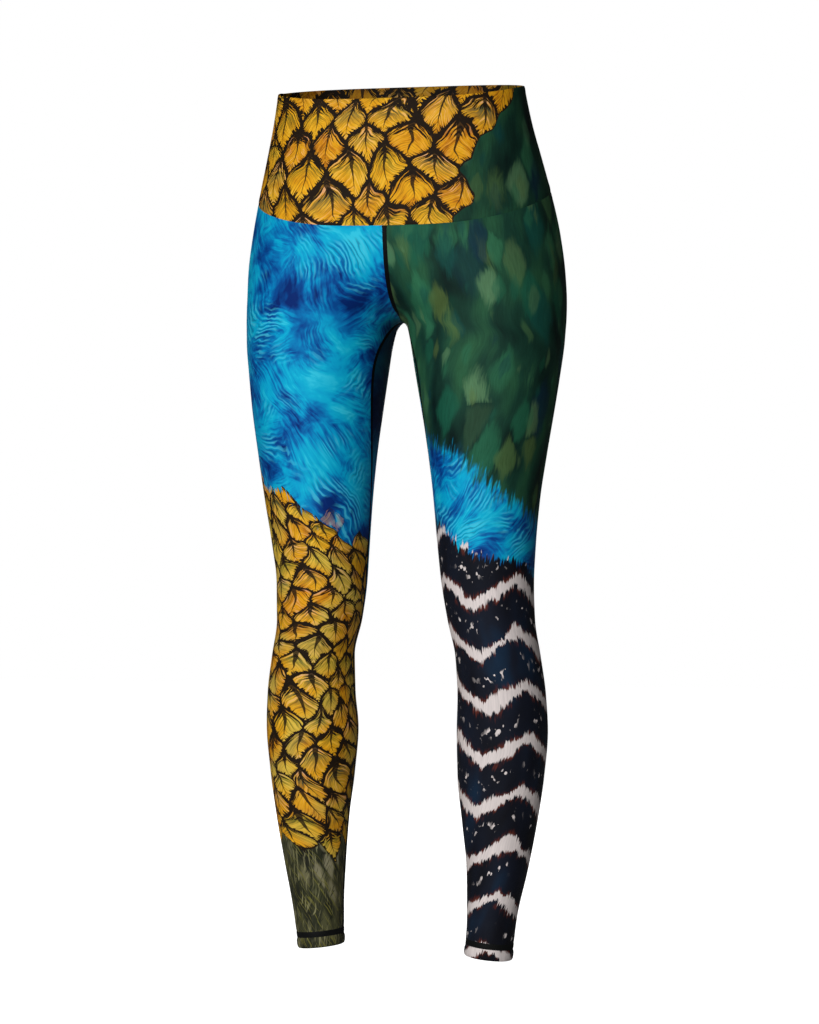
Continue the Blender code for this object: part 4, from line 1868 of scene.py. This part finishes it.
def aimed(name: str, data: bpy.types.ID, place: Vector, target: Vector) -> bpy.types.Object:
    """Makes a light or a camera at a place, which looks at a target.

    Args:
        name: Its name.
        data: What kind of light or camera it is.
        place: Where it stands.
        target: What it looks at.

    Returns:
        The object.
    """
    thing = bpy.data.objects.new(name, data)
    thing.location = place
    thing.rotation_euler = (target - place).to_track_quat("-Z", "Y").to_euler()
    bpy.context.scene.collection.objects.link(thing)
    return thing


@dataclass(frozen=True)
class SoftLight:
    """A square soft box that looks at a point."""

    name: str
    place: tuple[float, float, float]
    size: float
    power: float
    target: tuple[float, float, float] = (0.0, 0.0, -0.45)

    def build(self) -> None:
        """Makes the light."""
        data = bpy.data.lights.new(self.name, "AREA")
        data.shape = "SQUARE"
        data.size = self.size
        data.energy = self.power
        aimed(self.name, data, Vector(self.place), Vector(self.target))


@dataclass(frozen=True)
class Studio:
    """Floor, lights and camera."""

    floor_height: float = -1.16
    floor_reach: float = 7.0
    floor_lines: int = 9
    lens: float = 85.0
    sensor: float = 36.0
    target: tuple[float, float, float] = (0.0081, 0.0014, -0.4630)
    distance: float = 2.65
    azimuth: float = 10.0
    world_light: float = 0.06  # strength of the world's light on things
    world_seen: float = 1.0  # and as the camera sees it
    lights: tuple[SoftLight, ...] = (
        SoftLight("key_light", (-0.6, -3.15, 0.25), 1.1, 88.0),
        SoftLight("fill_light", (1.2, -3.2, -0.6), 1.4, 5.0),
        SoftLight("back_light", (-0.6, 3.3, 0.1), 0.9, 55.0),
    )

    def _floor(self) -> bpy.types.Object:
        """The floor: a level square on a grid of quads.

        Returns:
            The object.
        """
        run = np.linspace(-self.floor_reach, self.floor_reach, self.floor_lines)
        x, y = np.meshgrid(run, run)
        points = np.stack([x, y, np.full_like(x, self.floor_height)], axis=-1).reshape(-1, 3)
        number = np.arange(x.size).reshape(x.shape)
        corners = strip(number[:-1], number[1:], turned=True)
        paper = StudioPaper().material()
        return new_piece("studio_floor", points, corners, points[corners][..., :2], (paper,))

    def _camera(self) -> None:
        """The camera, level, in front of the legs and a little to the wearer's left."""
        turn, target = math.radians(self.azimuth), Vector(self.target)
        data = bpy.data.cameras.new("camera")
        data.lens = self.lens
        data.sensor_width = self.sensor
        place = target + Vector((math.sin(turn), -math.cos(turn), 0)) * self.distance
        bpy.context.scene.camera = aimed("camera", data, place, target)

    def build(self) -> None:
        """Makes everything that isn't part of the leggings."""
        self._floor()
        for light in self.lights:
            light.build()
        scene = bpy.context.scene
        scene.world = bpy.data.worlds.new("studio")
        scene.world.use_nodes = True
        graph = Graph(scene.world.node_tree)
        strength = choose(graph.wire("LightPath", "Is Camera Ray"), self.world_light, self.world_seen)
        graph.dress(graph.tree.nodes["Background"], Color=(1.0, 1.0, 1.0), Strength=strength)
        scene.view_settings.view_transform = "Standard"
        self._camera()


def write_sizes() -> None:
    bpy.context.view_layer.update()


def main() -> None:
    """Builds the leggings and the studio."""
    logging.basicConfig(level=logging.INFO, format="%(name)s: %(message)s")
    garment = Garment()
    prints = {Side.RIGHT: RightLegPrint(), Side.LEFT: LeftLegPrint()}
    legs = {side: LegPanel(side, garment, prints[side]) for side in Side}
    back_print = BandPrint("waistband_back_print", shift=(0.412, 0.233))
    BandPiece(Half.FRONT, garment, BandPrint(), flat=(0.44, 0.15)).build()
    BandPiece(Half.BACK, garment, back_print, flat=(0.41, 0.13)).build()
    for leg in legs.values():
        leg.build()
    Threads(garment, legs).build()
    Studio().build()
    write_sizes()


if __name__ == "__main__":
    main()
